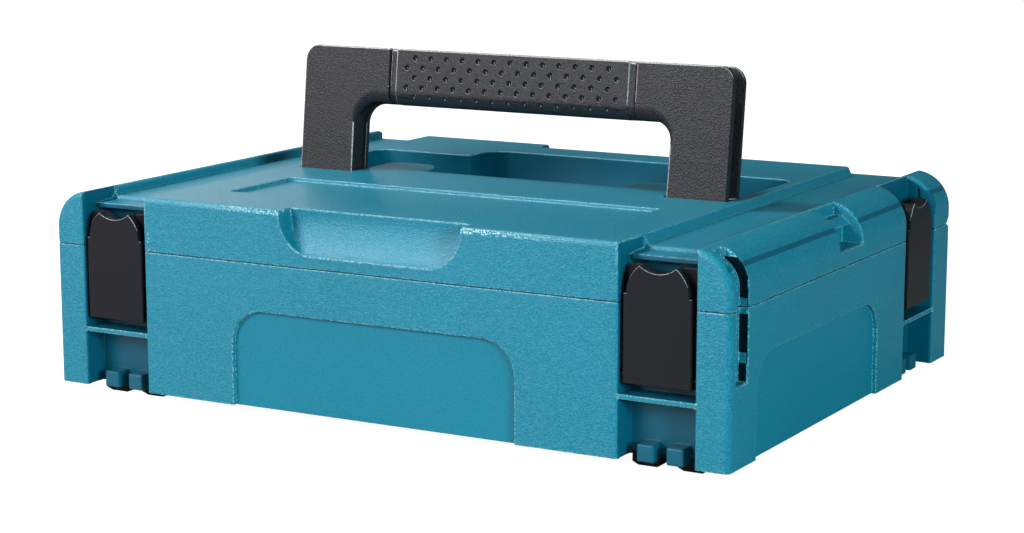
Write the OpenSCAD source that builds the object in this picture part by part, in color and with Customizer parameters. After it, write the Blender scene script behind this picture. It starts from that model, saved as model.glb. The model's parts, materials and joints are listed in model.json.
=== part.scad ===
// Hard tool case: tray body, hinged lid with a fold-down carrying handle, four
// pull-out latches that also rise to couple a case stacked on top, and four feet.
// Frame: origin under the middle of the case on the plane that the feet stand on,
// +X to the right, +Y to the hinge side, +Z up. Millimetres.

/* [Case] */
// Width over the side walls
case_w = 396; // [380:1:440]
// Depth over the front and back walls
case_d = 296; // [280:1:340]
// Height of the body, from its underside to the seam
body_h = 76.5; // [74:0.5:140]
// Height of the lid, from the seam to its deck
lid_h = 28.5; // [27:0.5:40]
// Thickness of the moulded walls
wall = 3; // [2.2:0.1:3.4]
// Radius of the upright outer corners
corner_r = 3; // [1:0.5:5]
// Height by which the feet lift the case
foot_h = 6; // [5:0.5:8]

/* [Lid top] */
// Distance from each side face to the raised middle deck
deck_side = 58.25; // [57:0.25:60]
// Rise of the deck and of the side rims above the side strips
deck_rise = 5; // [3:0.5:6]
// Set-back of the deck from the back face
deck_setback = 8; // [6:1:12]
// Run of the sloping edge at each side of the deck
deck_slope = 2.5; // [1:0.5:4]
// Radius of the rounded front edge of the deck
deck_front_r = 3; // [1:0.5:4]
// Width of the notch in the back edge of the deck
notch_w = 104; // [60:1:140]
// Depth of that notch
notch_d = 13; // [6:1:16]
// Width of each side rim, which is also its outer rounding radius
rim_w = 20; // [18:0.5:21]
// Radius of the inner top edge of the rims
rim_edge_r = 2; // [0.5:0.5:3]

/* [Front scoop] */
// Width of the grab scoop at the deck edge
scoop_w = 107; // [80:1:130]
// Height of the scoop below the deck
scoop_h = 22.5; // [16:0.5:22.5]
// Depth of the scoop into the deck
scoop_d = 11; // [8:0.5:13]
// Corner radius of the scoop outline
scoop_r = 20; // [10:1:20]

/* [Label field] */
// Width of the bare label field
label_w = 226; // [120:1:230]
// Depth of the field, front to back
label_d = 58; // [30:1:60]
// Distance from the front face to the field
label_y = 41; // [38:1:46]
// How far the field is sunk
label_sink = 2; // [1:0.5:2.5]

/* [Wall panels] */
// Width of the sunk panel in the front and back walls
front_panel_w = 167; // [120:1:220]
// Width of the sunk panel in the side walls
side_panel_w = 156; // [100:1:160]
// Distance from the front face to the side panel
side_panel_y = 31; // [30:1:40]
// Height of the sunk panels above the underside of the body
panel_h = 51; // [40:1:60]
// How far the panels are sunk
panel_sink = 2.5; // [1:0.5:3]
// Radius of the upper panel corners
panel_r = 18; // [8:1:24]

/* [Rim channels] */
// Depth of the channels in the outer face of the rims
channel_sink = 5; // [3:0.5:6]
// Width of the channel behind each front post
post_channel_w = 13; // [9:0.5:14]
// Distance from the front face to the post channel
post_channel_y = 6.5; // [5:0.5:8]
// Height of the lower end of the post channel above the underside
post_channel_z = 40.5; // [30:0.5:60]
// Width of the channel at the middle of each rim
mid_channel_w = 31; // [20:1:36]
// Height of the window in that channel
mid_window_h = 9.5; // [6:0.5:10]

/* [Latches] */
// Distance from the side face to the middle of a front latch
latch_side = 38.25; // [38:0.25:40]
// Distance from the back face to the middle of a side latch
latch_back = 46.5; // [40:0.5:50]
// Width of a front bay, which holds a latch
bay_w = 40; // [39:0.5:40.5]
// Width of a side bay, wider so that the opening lid clears the latch
side_bay_w = 44; // [44:0.5:46]
// Depth of the bay
bay_d = 14.5; // [13.5:0.5:16]
// Height of the ledge under the latch, above the underside of the body
ledge_z = 29.5; // [24:0.5:29.5]
// Thickness of the ledge
ledge_t = 2.5; // [2:0.5:3]
// Height of a latch
latch_h = 57.5; // [56:0.5:59]
// Thickness of the latch, front face to back face
latch_t = 9; // [8.5:0.5:9.5]
// Thickness of its front plate
latch_plate_t = 4.5; // [3.5:0.5:4.5]
// Width of the front plate at its foot
latch_plate_w = 35.6; // [33:0.2:36]
// Width of the front plate between its upper corners
latch_top_w = 21; // [18:0.5:24]
// Height of the tapering upper part of the plate
latch_taper_h = 14; // [10:0.5:16]
// Depth of the finger dip in its upper edge
dip_d = 3.6; // [2:0.2:4]
// Height of the latch axle above the foot of the latch
axle_up = 4; // [3.6:0.1:4.5]
// Diameter of the latch axle
axle_dia = 4; // [3:0.5:4]
// How far a latch rises to couple a stacked case
latch_lift = 29.5; // [28:0.5:31]
// Width of one coupling lug
lug_w = 9; // [7:0.5:10]
// Gap between the two lugs of a bay
lug_gap = 6.6; // [5:0.2:8]
// Height of the lugs
lug_h = 8.7; // [6:0.1:10]

/* [Handle] */
// Width over the legs
handle_w = 264.8; // [240:0.2:265]
// Height of the handle above its hinge
handle_h = 77.8; // [74:0.2:78]
// Width of a leg
leg_w = 34.5; // [28:0.5:36]
// Height of the grip bar
bar_h = 31.5; // [26:0.5:32]
// Thickness of the handle, front face to back face
handle_t = 17; // [15:0.5:17]
// Thickness of its front plate
handle_plate_t = 4; // [3:0.5:5]
// Thickness of the back shell
handle_back_t = 3; // [2:0.5:4]
// Depth of the open groove round the edge
groove_d = 7; // [4:0.5:9]
// Outer corner radius
handle_r = 9; // [6:1:14]
// Inner corner radius
handle_inner_r = 11; // [6:1:14]
// Rounding under the front of the bar, where the fingers close round it
bar_round = 8; // [4:0.5:10]
// Length of the grip
grip_l = 151.4; // [120:1:180]
// Lean of the raised handle behind upright
handle_lean = 6.7; // [0:0.1:10]
// Distance of its hinge in front of the middle of the case
handle_hinge_y = 3.7; // [2:0.1:6]
// Diameter of the handle pins
handle_pin_dia = 5; // [4:0.5:6]
// Dimples in the longer rows of the grip
dimples = 14; // [8:1:15]
// Distance between dimples
dimple_pitch = 10; // [9:0.1:10]
// Distance between the rows
dimple_row = 5.4; // [5:0.1:5.6]

/* [Handle trough] */
// Depth of the trough below the deck
trough_d = 20; // [19.5:0.1:21]
// Gap in front of the folded grip
bar_gap = 11; // [5:0.5:14]
// Corner radius of the trough round the folded handle
trough_r = 9.5; // [4:0.5:10]
// Width of the finger recess behind the folded grip
finger_w = 142; // [100:1:150]
// Reach of that recess behind the trough
finger_d = 26; // [18:1:28]
// Radius of its upright corners
finger_r = 14; // [6:1:16]
// Width of the finger recess in front of the folded grip
thumb_w = 126; // [100:1:130]
// Reach of that recess towards the front
thumb_d = 24.5; // [16:0.5:26]

/* [Lid hinge] */
// Distance from the middle of the case to each hinge
hinge_x = 95; // [70:1:110]
// Length of each hinge
hinge_l = 60; // [40:1:80]
// Distance of the hinge axis inside the back face
hinge_in = 4.5; // [4.5:0.1:5.5]
// Outer radius of the knuckles
knuckle_r = 4; // [3.5:0.1:4]
// Diameter of the hinge pins
hinge_pin_dia = 4; // [3:0.5:4]

/* [Feet] */
// Depth of a foot pad, front to back
foot_d = 13; // [8:1:16]
// Width of a pad
foot_w = 14.5; // [10:0.5:16]
// Gap between the two pads of a foot
foot_gap = 9.5; // [5:0.5:12]
// Bevel round the foot of the pads
foot_bevel = 2.2; // [1:0.1:3]

/* [Clearances] */
// Radial play of every pin in its bore
pin_play = 0.05; // [0.02:0.01:0.1]
// Gap beside parts that turn or slide
side_gap = 0.8; // [0.5:0.1:1.2]
// Least gap between parts that pass each other
pass_gap = 0.3; // [0.3:0.05:0.5]
// Gap round parts let into a wall
seat_gap = 0.1; // [0.05:0.05:0.2]

/* [Hidden] */
$fn = 48;
eps = 0.01;
teal = "#127f9e";
black = "#211f23";
rubber = "#151517";
steel = "#b9bdc2";

half_w = case_w / 2;
half_d = case_d / 2;
base_z = foot_h;
seam_z = base_z + body_h;
deck_z = seam_z + lid_h;
strip_z = deck_z - deck_rise;
deck_x = half_w - deck_side;
rim_x = half_w - rim_w;
rim_z = deck_z - rim_w;

// Latch bays. In a bay's own frame X runs along the wall, Y goes in from the
// outer face, and Z is the height in the case.
latch_x = half_w - latch_side;
latch_y = half_d - latch_back;
ledge_top = base_z + ledge_z + ledge_t;
latch_z = ledge_top + 5.5;
latch_top = latch_z + latch_h;
axle_z = latch_z + axle_up;
axle_y = 5;
slot_d = 3;
bay_cheek = slot_d + wall;
bay_edge_r = 2;
lug_front = axle_y;
lug_drop = 1;
lug_z = base_z - lug_drop;
hook_gap = lug_h + 3.3;
hook_h = 4;
catch_top = seam_z + 6.5;
hook_z = catch_top + 1;
catch_y = latch_t + 2.5;
nose_y = catch_y - pass_gap;
lip_t = 2.5;
wing_in = 2;
lip_top = deck_z - deck_rise - 2;
pocket_y = bay_d + 3.5;
strip_front = 27;

// Handle and its trough
hinge_y = -handle_hinge_y;
hinge_z = deck_z - 0.5 - handle_t / 2;
trough_z = deck_z - trough_d;
trough_x = handle_w / 2 + 1.1;
trough_in = handle_w / 2 - leg_w - 1.5;
trough_front = hinge_y - handle_t / 2 - 0.4;
trough_back = hinge_y + handle_h + 1.9;
bar_front = hinge_y + handle_h - bar_h - bar_gap;
thumb_front = bar_front - thumb_d;
tongue_y = bar_front - max(trough_r, finger_r);
thumb_r = 3;
leg_gap_r = 1.5;
groove_w = handle_t - handle_plate_t - handle_back_t;
core_y = -handle_t / 2 + handle_plate_t;
back_y = core_y + groove_w;
core_in = 2;
pin_grip = 5.5;

// Ribs, windows and sunk fields
window_d = 7;
post_windows = [[seam_z + 4, seam_z + 17], [seam_z - 22, seam_z - 3.5],
    [base_z + post_channel_z, seam_z - 27]];
mid_window_z = seam_z + 8;
top_pocket = [3, 10];
post_pocket = [6, 10.5];
post_pocket_d = 9.5;
rib_t = 2;
rib_h = 2.5;
rib_step = 0.5;
base_rib = 8;
base_sink = 1;

// Feet, in the bay frame
foot_in = bay_d + 0.3;
foot_len = 2 * foot_w + foot_gap;
foot_strip_t = 1.5;

// Lid hinge
axis_y = half_d - hinge_in;
rail = 11;
knuckle_gap = 0.3;
lid_knuckle = hinge_l / 2;
knuckle_clear = knuckle_r + 0.4;

// ---- Shared shapes ----

// Box between two corners
module box(x0, x1, y0, y1, z0, z1)
    translate([x0, y0, z0]) cube([x1 - x0, y1 - y0, z1 - z0]);

// What rounding takes off an upright edge at (x, y), whose wall lies towards (sx, sy)
module edge_round(x, y, sx, sy, r, z0, z1)
    translate([x, y, z0]) linear_extrude(z1 - z0) difference() {
        translate([sx > 0 ? -eps : -r, sy > 0 ? -eps : -r]) square(r + eps);
        translate([sx * r, sy * r]) circle(r);
    }

// Rod along X between two ends
module rod(x0, x1, y, z, r)
    translate([x0, y, z]) rotate([0, 90, 0]) cylinder(h = x1 - x0, r = r);

// A flat outline drawn in X and Z, given its depth along Y
module wall_cut(y0, y1)
    translate([0, y1, 0]) rotate([90, 0, 0]) linear_extrude(y1 - y0) children();

// An outline drawn in Y and Z, run along X
module run_x(x0, x1)
    translate([x0, 0, 0]) rotate([90, 0, 90]) linear_extrude(x1 - x0) children();

// Square with its upper corners rounded, standing on z0
module arch(w, z0, z1, r) {
    translate([-w / 2, z0]) square([w, z1 - r - z0]);
    translate([-w / 2 + r, z0]) square([w - 2 * r, z1 - z0]);
    for (s = [-1, 1]) translate([s * (w / 2 - r), z1 - r]) circle(r);
}

// Rectangle with four round corners, in X and Y
module soft_rect(x0, x1, y0, y1, r) {
    translate([x0 + r, y0]) square([x1 - x0 - 2 * r, y1 - y0]);
    translate([x0, y0 + r]) square([x1 - x0, y1 - y0 - 2 * r]);
    for (x = [x0 + r, x1 - r], y = [y0 + r, y1 - r]) translate([x, y]) circle(r);
}

module both_sides() {
    children();
    mirror([1, 0, 0]) children();
}

// Places of the latch bays: front ones face -Y, rear ones face the sides
module at_front_bay(side) translate([side * latch_x, -half_d, 0]) children();
module at_rear_bay(side) translate([side * half_w, latch_y, 0]) rotate([0, 0, side * 90]) children();
module at_front_bays() for (s = [-1, 1]) at_front_bay(s) children();
module at_rear_bays() for (s = [-1, 1]) at_rear_bay(s) children();
module at_all_bays() {
    at_front_bays() children();
    at_rear_bays() children();
}

module outer_corners(z0, z1)
    for (sx = [-1, 1], sy = [-1, 1])
        edge_round(sx * half_w, sy * half_d, -sx, -sy, corner_r, z0, z1);

// What rounding takes off the outer edge of a rim that ends at y and lies towards sy
module rim_round(y, sy, r) both_sides() translate([rim_x, y, rim_z]) intersection() {
    rotate([-90 * sy, 0, 0]) rotate_extrude($fn = 96) difference() {
        translate([rim_w - r, -eps]) square([r + 1, r + eps]);
        translate([rim_w - r, r]) circle(r, $fn = 48);
    }
    box(0, rim_w + 2, -r - 1, r + 1, 0, rim_w + 2);
}

// Rounded mouth edges of a bay
module bay_mouth(w, z0, z1)
    for (s = [-1, 1]) edge_round(s * w / 2, 0, s, 1, bay_edge_r, z0, z1);

// Solid kept round a bay, so the hollow stays behind its walls
module bay_block(w, depth, z0, z1)
    box(-w / 2 - bay_cheek, w / 2 + bay_cheek, -1, depth + wall, z0, z1);

// ---- Channels in the rims ----

module channel(y0, y1, z0) {
    difference() {
        box(half_w - channel_sink - 8, half_w + 1, y0, y1, z0, deck_z + 1);
        translate([rim_x, y1 + 1, rim_z]) rotate([90, 0, 0])
            cylinder(h = y1 - y0 + 2, r = rim_w - channel_sink);
        box(half_w - rim_w, half_w - channel_sink, y0 - 1, y1 + 1, z0 - 1, rim_z);
    }
}

module post_channel() {
    y0 = -half_d + post_channel_y;
    y1 = y0 + post_channel_w;
    inner = half_w - channel_sink - window_d;
    channel(y0, y1, base_z + post_channel_z);
    // windows in the channel floor
    for (z = post_windows) box(inner, half_w, y0 + 2, y1 - 2.5, z[0], z[1]);
    box(rim_x + post_pocket[0], rim_x + post_pocket[1], y0 + 4, y1 - 2.5, deck_z - post_pocket_d, deck_z);
}

module mid_channel() {
    y0 = -mid_channel_w / 2;
    y1 = mid_channel_w / 2;
    channel(y0, y1, mid_window_z);
    box(half_w - channel_sink - window_d, half_w + 1, y0, y1, mid_window_z,
        mid_window_z + mid_window_h);
    box(rim_x + top_pocket[0], rim_x + top_pocket[1], y0, y1, deck_z - window_d, deck_z + 1);
}

// Solid kept behind the channels
module post_block(z0, z1)
    box(half_w - channel_sink - window_d - wall, half_w, -half_d,
        -half_d + post_channel_y + post_channel_w + wall, z0, z1);

module mid_block(z0, z1)
    box(rim_x, half_w, -mid_channel_w / 2 - wall, mid_channel_w / 2 + wall, z0, z1);

// ---- Body ----

module panel_cuts() {
    for (s = [-1, 1])
        wall_cut(s < 0 ? -half_d - 1 : half_d - panel_sink, s < 0 ? -half_d + panel_sink : half_d + 1)
            arch(front_panel_w, base_z - 1, base_z + panel_h, panel_r);
    both_sides() run_x(half_w - panel_sink, half_w + 1)
        translate([-half_d + side_panel_y + side_panel_w / 2, 0])
            arch(side_panel_w, base_z - 1, base_z + panel_h, panel_r);
}

module body_hollow() difference() {
    box(-half_w + wall, half_w - wall, -half_d + wall, half_d - wall, base_z + wall, seam_z + 1);
    at_front_bays() bay_block(bay_w, bay_d, base_z, seam_z + 2);
    at_rear_bays() bay_block(side_bay_w, bay_d, base_z, seam_z + 2);
    both_sides() post_block(base_z + post_channel_z - wall, seam_z + 2);
    box(-half_w, half_w, half_d - rail, half_d, seam_z - rail, seam_z + 2);
    // walls behind the sunk panels
    for (s = [-1, 1]) box(-front_panel_w / 2 - wall, front_panel_w / 2 + wall,
        s * half_d - panel_sink - wall, s * half_d + panel_sink + wall,
        base_z, base_z + panel_h + wall);
    both_sides() box(half_w - panel_sink - wall, half_w, -half_d + side_panel_y - wall,
        -half_d + side_panel_y + side_panel_w + wall, base_z, base_z + panel_h + wall);
}

// The two lugs of a bay, as far in as depth
module lugs(depth) for (s = [-1, 1]) translate([s * (lug_w + lug_gap) / 2, 0, 0])
    box(-lug_w / 2, lug_w / 2, lug_front, depth, lug_z, lug_z + lug_h);

module bay_in_body(w) {
    difference() {
        box(-w / 2, w / 2, -1, bay_d, lug_z - 1, seam_z + 1);
        box(-w / 2 - 1, w / 2 + 1, 0.4, bay_d + 1, base_z + ledge_z, ledge_top);
        lugs(bay_d + 1);
    }
    bay_mouth(w, base_z - 1, base_z + ledge_z);
    bay_mouth(w, ledge_top, seam_z + 1);
    for (s = [-1, 1]) axle_slot(s > 0 ? w / 2 - 1 : -w / 2 - slot_d);
}

// Round-ended upright slot that an axle end rides in
module axle_slot(x0) {
    x1 = x0 + slot_d + 1;
    r = axle_dia / 2 + pin_play;
    rod(x0, x1, axle_y, axle_z, r);
    rod(x0, x1, axle_y, axle_z + latch_lift, r);
    box(x0, x1, axle_y - r, axle_y + r, axle_z, axle_z + latch_lift);
}

// Lengths of the hinge that belong to the body, on either side of the lid's knuckle
function body_knuckles() = [[-hinge_l / 2, -lid_knuckle / 2 - knuckle_gap],
    [lid_knuckle / 2 + knuckle_gap, hinge_l / 2]];

module body_shell() color(teal) difference() {
    union() {
        difference() {
            box(-half_w, half_w, -half_d, half_d, base_z, seam_z);
            body_hollow();
            // back edge is cut away so that the lid can swing down behind it
            run_x(-half_w - 1, half_w + 1) polygon([[axis_y, seam_z + 1], [axis_y, seam_z],
                [half_d, seam_z - hinge_in - 0.5], [half_d + 1, seam_z - hinge_in - 0.5],
                [half_d + 1, seam_z + 1]]);
            both_sides() rod(hinge_x - lid_knuckle / 2 - knuckle_gap,
                hinge_x + lid_knuckle / 2 + knuckle_gap, axis_y, seam_z, knuckle_clear);
        }
        both_sides() for (k = body_knuckles())
            rod(hinge_x + k[0], hinge_x + k[1], axis_y, seam_z, knuckle_r);
        locating_ribs();
        at_all_bays() lugs(bay_d);
    }
    both_sides() rod(hinge_x - hinge_l / 2 - 1, hinge_x + hinge_l / 2 + 1, axis_y, seam_z,
        hinge_pin_dia / 2 + pin_play);
    panel_cuts();
    at_front_bays() bay_in_body(bay_w);
    at_rear_bays() bay_in_body(side_bay_w);
    both_sides() post_channel();
    outer_corners(base_z - 1, seam_z + 1);
    foot_seats();
    base_fields();
}

// Shallow sunk fields in the underside
module base_fields() {
    x_edge = [-deck_x + 2 * base_rib, deck_x - 2 * base_rib];
    y_edge = [-half_d + 2 * base_rib, half_d - 2 * base_rib];
    step_x = (x_edge[1] - x_edge[0] + base_rib) / 3;
    step_y = (y_edge[1] - y_edge[0] + base_rib) / 2;
    for (i = [0:2], j = [0:1])
        translate([x_edge[0] + i * step_x, y_edge[0] + j * step_y, base_z - 1])
            cube([step_x - base_rib, step_y - base_rib, 1 + base_sink]);
}

// Ribs on the body that stand up inside the closed lid, stepped in from its walls
module locating_ribs() {
    front = -half_d + wall - eps;
    side = half_w - wall + eps;
    front_x = deck_x - 2 * bay_cheek;
    module rib(gap, z0, z1) {
        box(-front_x, front_x, front + gap, front + rib_t + rib_step, z0, z1);
        both_sides() for (y = rib_runs())
            box(side - rib_t - rib_step, side - gap, y[0], y[1], z0, z1);
    }
    rib(0, seam_z - 4, seam_z);
    rib(rib_step, seam_z - eps, seam_z + rib_h);
}

// Ends of the side ribs, front to back, on either side of the rim channel
function rib_runs() = [[-half_d + 32, -mid_channel_w / 2 - 2 * wall],
    [mid_channel_w / 2 + 2 * wall, latch_y - side_bay_w / 2 - 2 * bay_cheek]];

// ---- Lid ----

module lid_section() {
    translate([-rim_x, seam_z]) square([2 * rim_x, strip_z - seam_z]);
    translate([-half_w, seam_z]) square([case_w, rim_z - seam_z]);
    for (s = [-1, 1]) intersection() {
        translate([s * rim_x, rim_z]) circle(rim_w, $fn = 96);
        translate([s > 0 ? rim_x : -half_w, rim_z - 1]) square([rim_w, rim_w + 2]);
        rim_edge(s);
    }
}

// Keeps the inner top edge of a rim round
module rim_edge(s) {
    up = rim_z + sqrt(pow(rim_w - rim_edge_r, 2) - pow(rim_edge_r, 2));
    past = rim_w * rim_edge_r / (rim_w - rim_edge_r);
    translate([s * (rim_x + rim_edge_r), up]) circle(rim_edge_r);
    translate([s > 0 ? rim_x : -half_w, rim_z - 1]) square([rim_w, up - rim_z + 1]);
    translate([s > 0 ? rim_x + past : -half_w, rim_z]) square([rim_w - past, rim_w + 1]);
}

module lid_deck() intersection() {
    wall_cut(-half_d, half_d - deck_setback)
        polygon([[-deck_x - deck_slope, seam_z], [-deck_x - deck_slope, strip_z], [-deck_x, deck_z],
            [deck_x, deck_z], [deck_x + deck_slope, strip_z], [deck_x + deck_slope, seam_z]]);
    run_x(-half_w, half_w) {
        translate([-half_d, seam_z]) square([case_d, lid_h - deck_front_r]);
        translate([-half_d + deck_front_r, seam_z]) square([case_d, lid_h]);
        translate([-half_d + deck_front_r, deck_z - deck_front_r]) circle(deck_front_r);
    }
}

module lid_hollow() difference() {
    wall_cut(-half_d + wall, half_d - wall) {
        translate([-deck_x + wall, seam_z - 1]) square([2 * (deck_x - wall), lid_h + 1 - wall]);
        translate([-rim_x + wall, seam_z - 1]) square([2 * (rim_x - wall), strip_z - seam_z + 1 - wall]);
        translate([-half_w + wall, seam_z - 1]) square([case_w - 2 * wall, rim_z - seam_z + 1]);
        for (s = [-1, 1]) intersection() {
            translate([s * rim_x, rim_z]) circle(rim_w - wall, $fn = 96);
            translate([s > 0 ? rim_x + wall : -half_w, rim_z - 1]) square([rim_w - wall, rim_w]);
        }
    }
    at_front_bays() bay_block(bay_w, pocket_y, seam_z - 2, deck_z);
    at_rear_bays() bay_block(side_bay_w, pocket_y, seam_z - 2, deck_z);
    both_sides() post_block(seam_z - 2, deck_z);
    both_sides() mid_block(seam_z - 2, deck_z);
    box(-half_w, half_w, half_d - rail, half_d, seam_z - 2, seam_z + rail);
    box(-half_w, half_w, half_d - deck_setback - wall, half_d, strip_z - wall, deck_z);
    box(-notch_w / 2 - 2 * wall, notch_w / 2 + 2 * wall, half_d - deck_setback - notch_d - wall,
        half_d, strip_z - wall, deck_z);
    trough_block();
    box(-label_w / 2 - wall, label_w / 2 + wall, -half_d + label_y - wall,
        -half_d + label_y + label_d + wall, deck_z - label_sink - wall, deck_z);
    // wall round the scoop
    box(-scoop_w / 2 - wall, scoop_w / 2 + wall, -half_d, -half_d + scoop_d + wall,
        deck_z - scoop_h - wall, deck_z);
}

// Trough outline, seen from above: two leg channels, the grip channel and the finger
// recesses in front of it and behind it
module trough_plan() {
    for (s = [-1, 1]) mirror([s < 0 ? 1 : 0, 0])
        soft_rect(trough_in, trough_x, trough_front, trough_back - trough_r, leg_gap_r);
    soft_rect(-trough_x, trough_x, tongue_y, trough_back, trough_r);
    soft_rect(-finger_w / 2, finger_w / 2, trough_back - finger_d, trough_back + finger_d, finger_r);
    soft_rect(-thumb_w / 2, thumb_w / 2, thumb_front, trough_back - finger_d, thumb_r);
}

// Tongue of the deck left standing between a leg channel and the front recess
module trough_tongue() difference() {
    box(thumb_w / 2, trough_in, tongue_y, bar_front, trough_z, deck_z + 2);
    edge_round(trough_in, bar_front, -1, -1, trough_r, trough_z - 1, deck_z + 3);
    edge_round(thumb_w / 2, bar_front, 1, -1, finger_r, trough_z - 1, deck_z + 3);
}

module trough_block() {
    box(-trough_x - wall, trough_x + wall, trough_front - wall, trough_back + wall,
        trough_z - wall, deck_z);
    box(-finger_w / 2 - wall, finger_w / 2 + wall, trough_back - 1, trough_back + finger_d + wall,
        trough_z - wall, deck_z);
    // bosses for the handle pins
    both_sides() box(trough_x - 1, trough_x + pin_grip + wall, hinge_y - 8, hinge_y + 8,
        trough_z - wall, strip_z);
}

// Grab scoop in the front edge: a tapering outline hollowed by a cove along X
module scoop_cut() {
    rise = 4;
    out = (pow(scoop_h - rise, 2) - pow(rise, 2) - pow(scoop_d, 2)) / (2 * scoop_d);
    cove_r = sqrt(pow(out, 2) + pow(scoop_h - rise, 2));
    intersection() {
        wall_cut(-half_d - 1, -half_d + scoop_d + 1)
            arch_down(scoop_w, deck_z - scoop_h, deck_z + 1, scoop_r);
        rod(-scoop_w / 2 - 1, scoop_w / 2 + 1, -half_d - out, deck_z - rise, cove_r);
    }
}

// Square with its lower corners rounded
module arch_down(w, z0, z1, r) {
    translate([-w / 2, z0 + r]) square([w, z1 - z0 - r]);
    translate([-w / 2 + r, z0]) square([w - 2 * r, z1 - z0]);
    for (s = [-1, 1]) translate([s * (w / 2 - r), z0 + r]) circle(r);
}

// Front bay in the lid: catch below, pocket above it, then the lip and the shelf
module front_bay_in_lid() {
    box(-bay_w / 2, bay_w / 2, -1, catch_y, seam_z - 1, deck_z + 1);
    box(-bay_w / 2, bay_w / 2, -1, pocket_y, catch_top, lip_top - lip_t);
    bay_step();
    bay_mouth(bay_w, seam_z - 1, deck_z + 1);
    guide_grooves(bay_w);
}

// Steps down from the side strip to the lip over a front latch
module bay_step()
    run_x(-bay_w / 2, bay_w / 2) polygon([[0, deck_z + 1], [0, lip_top], [strip_front - 2, lip_top],
        [strip_front, strip_z], [strip_front, deck_z + 1]]);

// Rear bay in the lid: open to the top, behind the latch only the rim's inner wall stands
module rear_bay_in_lid() {
    w = side_bay_w;
    box(-w / 2, w / 2, -1, catch_y, seam_z - 1, deck_z + 1);
    box(-w / 2, w / 2, -1, rim_w - wall, catch_top, deck_z + 1);
    bay_mouth(w, seam_z - 1, rim_z);
    guide_grooves(w);
}

// Narrow round-topped grooves in the cheeks of a bay
module guide_grooves(w)
    for (s = [-1, 1]) translate([s * w / 2, 0, 0]) {
        box(-1.2, 1.2, latch_t + 0.4, latch_t + 2.8, catch_top, lip_top - 1);
        rod(-1.2, 1.2, latch_t + 1.6, lip_top - 1, 1.2);
    }

module deck_notch() wall_cut(half_d - deck_setback - notch_d, half_d)
    polygon([[-notch_w / 2, strip_z], [-notch_w / 2 - deck_slope, deck_z + 1],
        [notch_w / 2 + deck_slope, deck_z + 1], [notch_w / 2, strip_z]]);

module lid_shell() color(teal) difference() {
    union() {
        difference() {
            union() {
                wall_cut(-half_d, half_d) lid_section();
                lid_deck();
            }
            lid_hollow();
            // back edge bevel that clears the body when the lid stands open
            run_x(-half_w - 1, half_w + 1) polygon([[axis_y - 1, seam_z - 1], [axis_y - 1, seam_z],
                [half_d, seam_z + hinge_in + 1], [half_d + 1, seam_z + hinge_in + 1],
                [half_d + 1, seam_z - 1]]);
            both_sides() for (k = body_knuckles())
                rod(hinge_x + k[0] - knuckle_gap, hinge_x + k[1] + knuckle_gap, axis_y, seam_z,
                    knuckle_clear);
        }
        both_sides() rod(hinge_x - lid_knuckle / 2, hinge_x + lid_knuckle / 2, axis_y, seam_z,
            knuckle_r);
    }
    both_sides() rod(hinge_x - hinge_l / 2 - 1, hinge_x + hinge_l / 2 + 1, axis_y, seam_z,
        hinge_pin_dia / 2 + pin_play);
    at_front_bays() front_bay_in_lid();
    at_rear_bays() rear_bay_in_lid();
    both_sides() post_channel();
    both_sides() mid_channel();
    difference() {
        translate([0, 0, trough_z]) linear_extrude(trough_d + 1) trough_plan();
        both_sides() trough_tongue();
    }
    both_sides() rod(trough_in - pin_grip, trough_x + pin_grip, hinge_y, hinge_z,
        handle_pin_dia / 2 + pin_play);
    scoop_cut();
    deck_notch();
    translate([0, 0, deck_z - label_sink]) linear_extrude(label_sink + 1)
        soft_rect(-label_w / 2, label_w / 2, -half_d + label_y, -half_d + label_y + label_d, 1);
    outer_corners(seam_z - 1, rim_z);
    for (s = [-1, 1]) {
        rim_round(s * half_d, -s, corner_r);
        rim_round(latch_y + s * side_bay_w / 2, s, bay_edge_r);
    }
}

// ---- Lid hinge pins ----

module hinge_pin(side) color(steel)
    rod(side * hinge_x - hinge_l / 2, side * hinge_x + hinge_l / 2, axis_y, seam_z, hinge_pin_dia / 2);

module hinge_pin_left() hinge_pin(-1);
module hinge_pin_right() hinge_pin(1);

// ---- Handle ----

// The handle's own frame stands on its hinge: X along the axis, Y front to back, Z up the legs
module on_handle() translate([0, hinge_y, hinge_z]) rotate([-handle_lean, 0, 0]) children();

// Outline of the U, kept in from its outer edge and from its inner edge
module handle_outline(outer_in, inner_in) difference() {
    arch(handle_w - 2 * outer_in, -handle_t / 2, handle_h - outer_in, handle_r);
    arch(handle_w - 2 * leg_w + 2 * inner_in, -handle_t, handle_h - bar_h + inner_in,
        handle_inner_r + inner_in);
}

// Keeps the foot of each leg round about the hinge
module round_feet() intersection() {
    children();
    union() {
        box(-handle_w, handle_w, -handle_t, handle_t, 0, 2 * handle_h);
        rod(-handle_w, handle_w, 0, 0, handle_t / 2);
    }
}

// What that rounding takes off, between the inner corners
module bar_rounding(half_l) run_x(-half_l, half_l) difference() {
    translate([-handle_t / 2 - eps, handle_h - bar_h - eps]) square(bar_round + eps);
    translate([-handle_t / 2 + bar_round, handle_h - bar_h + bar_round]) circle(bar_round);
}

module handle_bores()
    rod(-handle_w, handle_w, 0, 0, handle_pin_dia / 2 + pin_play);

module handle_front_shell() color(black) on_handle() difference() {
    round_feet() {
        wall_cut(-handle_t / 2, core_y) handle_outline(0, 0);
        wall_cut(core_y - eps, back_y) handle_outline(groove_d, core_in);
        both_sides() box(handle_w / 2 - leg_w, handle_w / 2, core_y - eps, back_y, -handle_t / 2,
            handle_t / 2 + 1);
    }
    handle_bores();
    // seat of the grip in the front plate
    box(-grip_l / 2 - side_gap, grip_l / 2 + side_gap, -handle_t, core_y, handle_h - bar_h - 1,
        handle_h + 1);
    bar_rounding(handle_w / 2 - leg_w - handle_inner_r);
}

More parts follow.
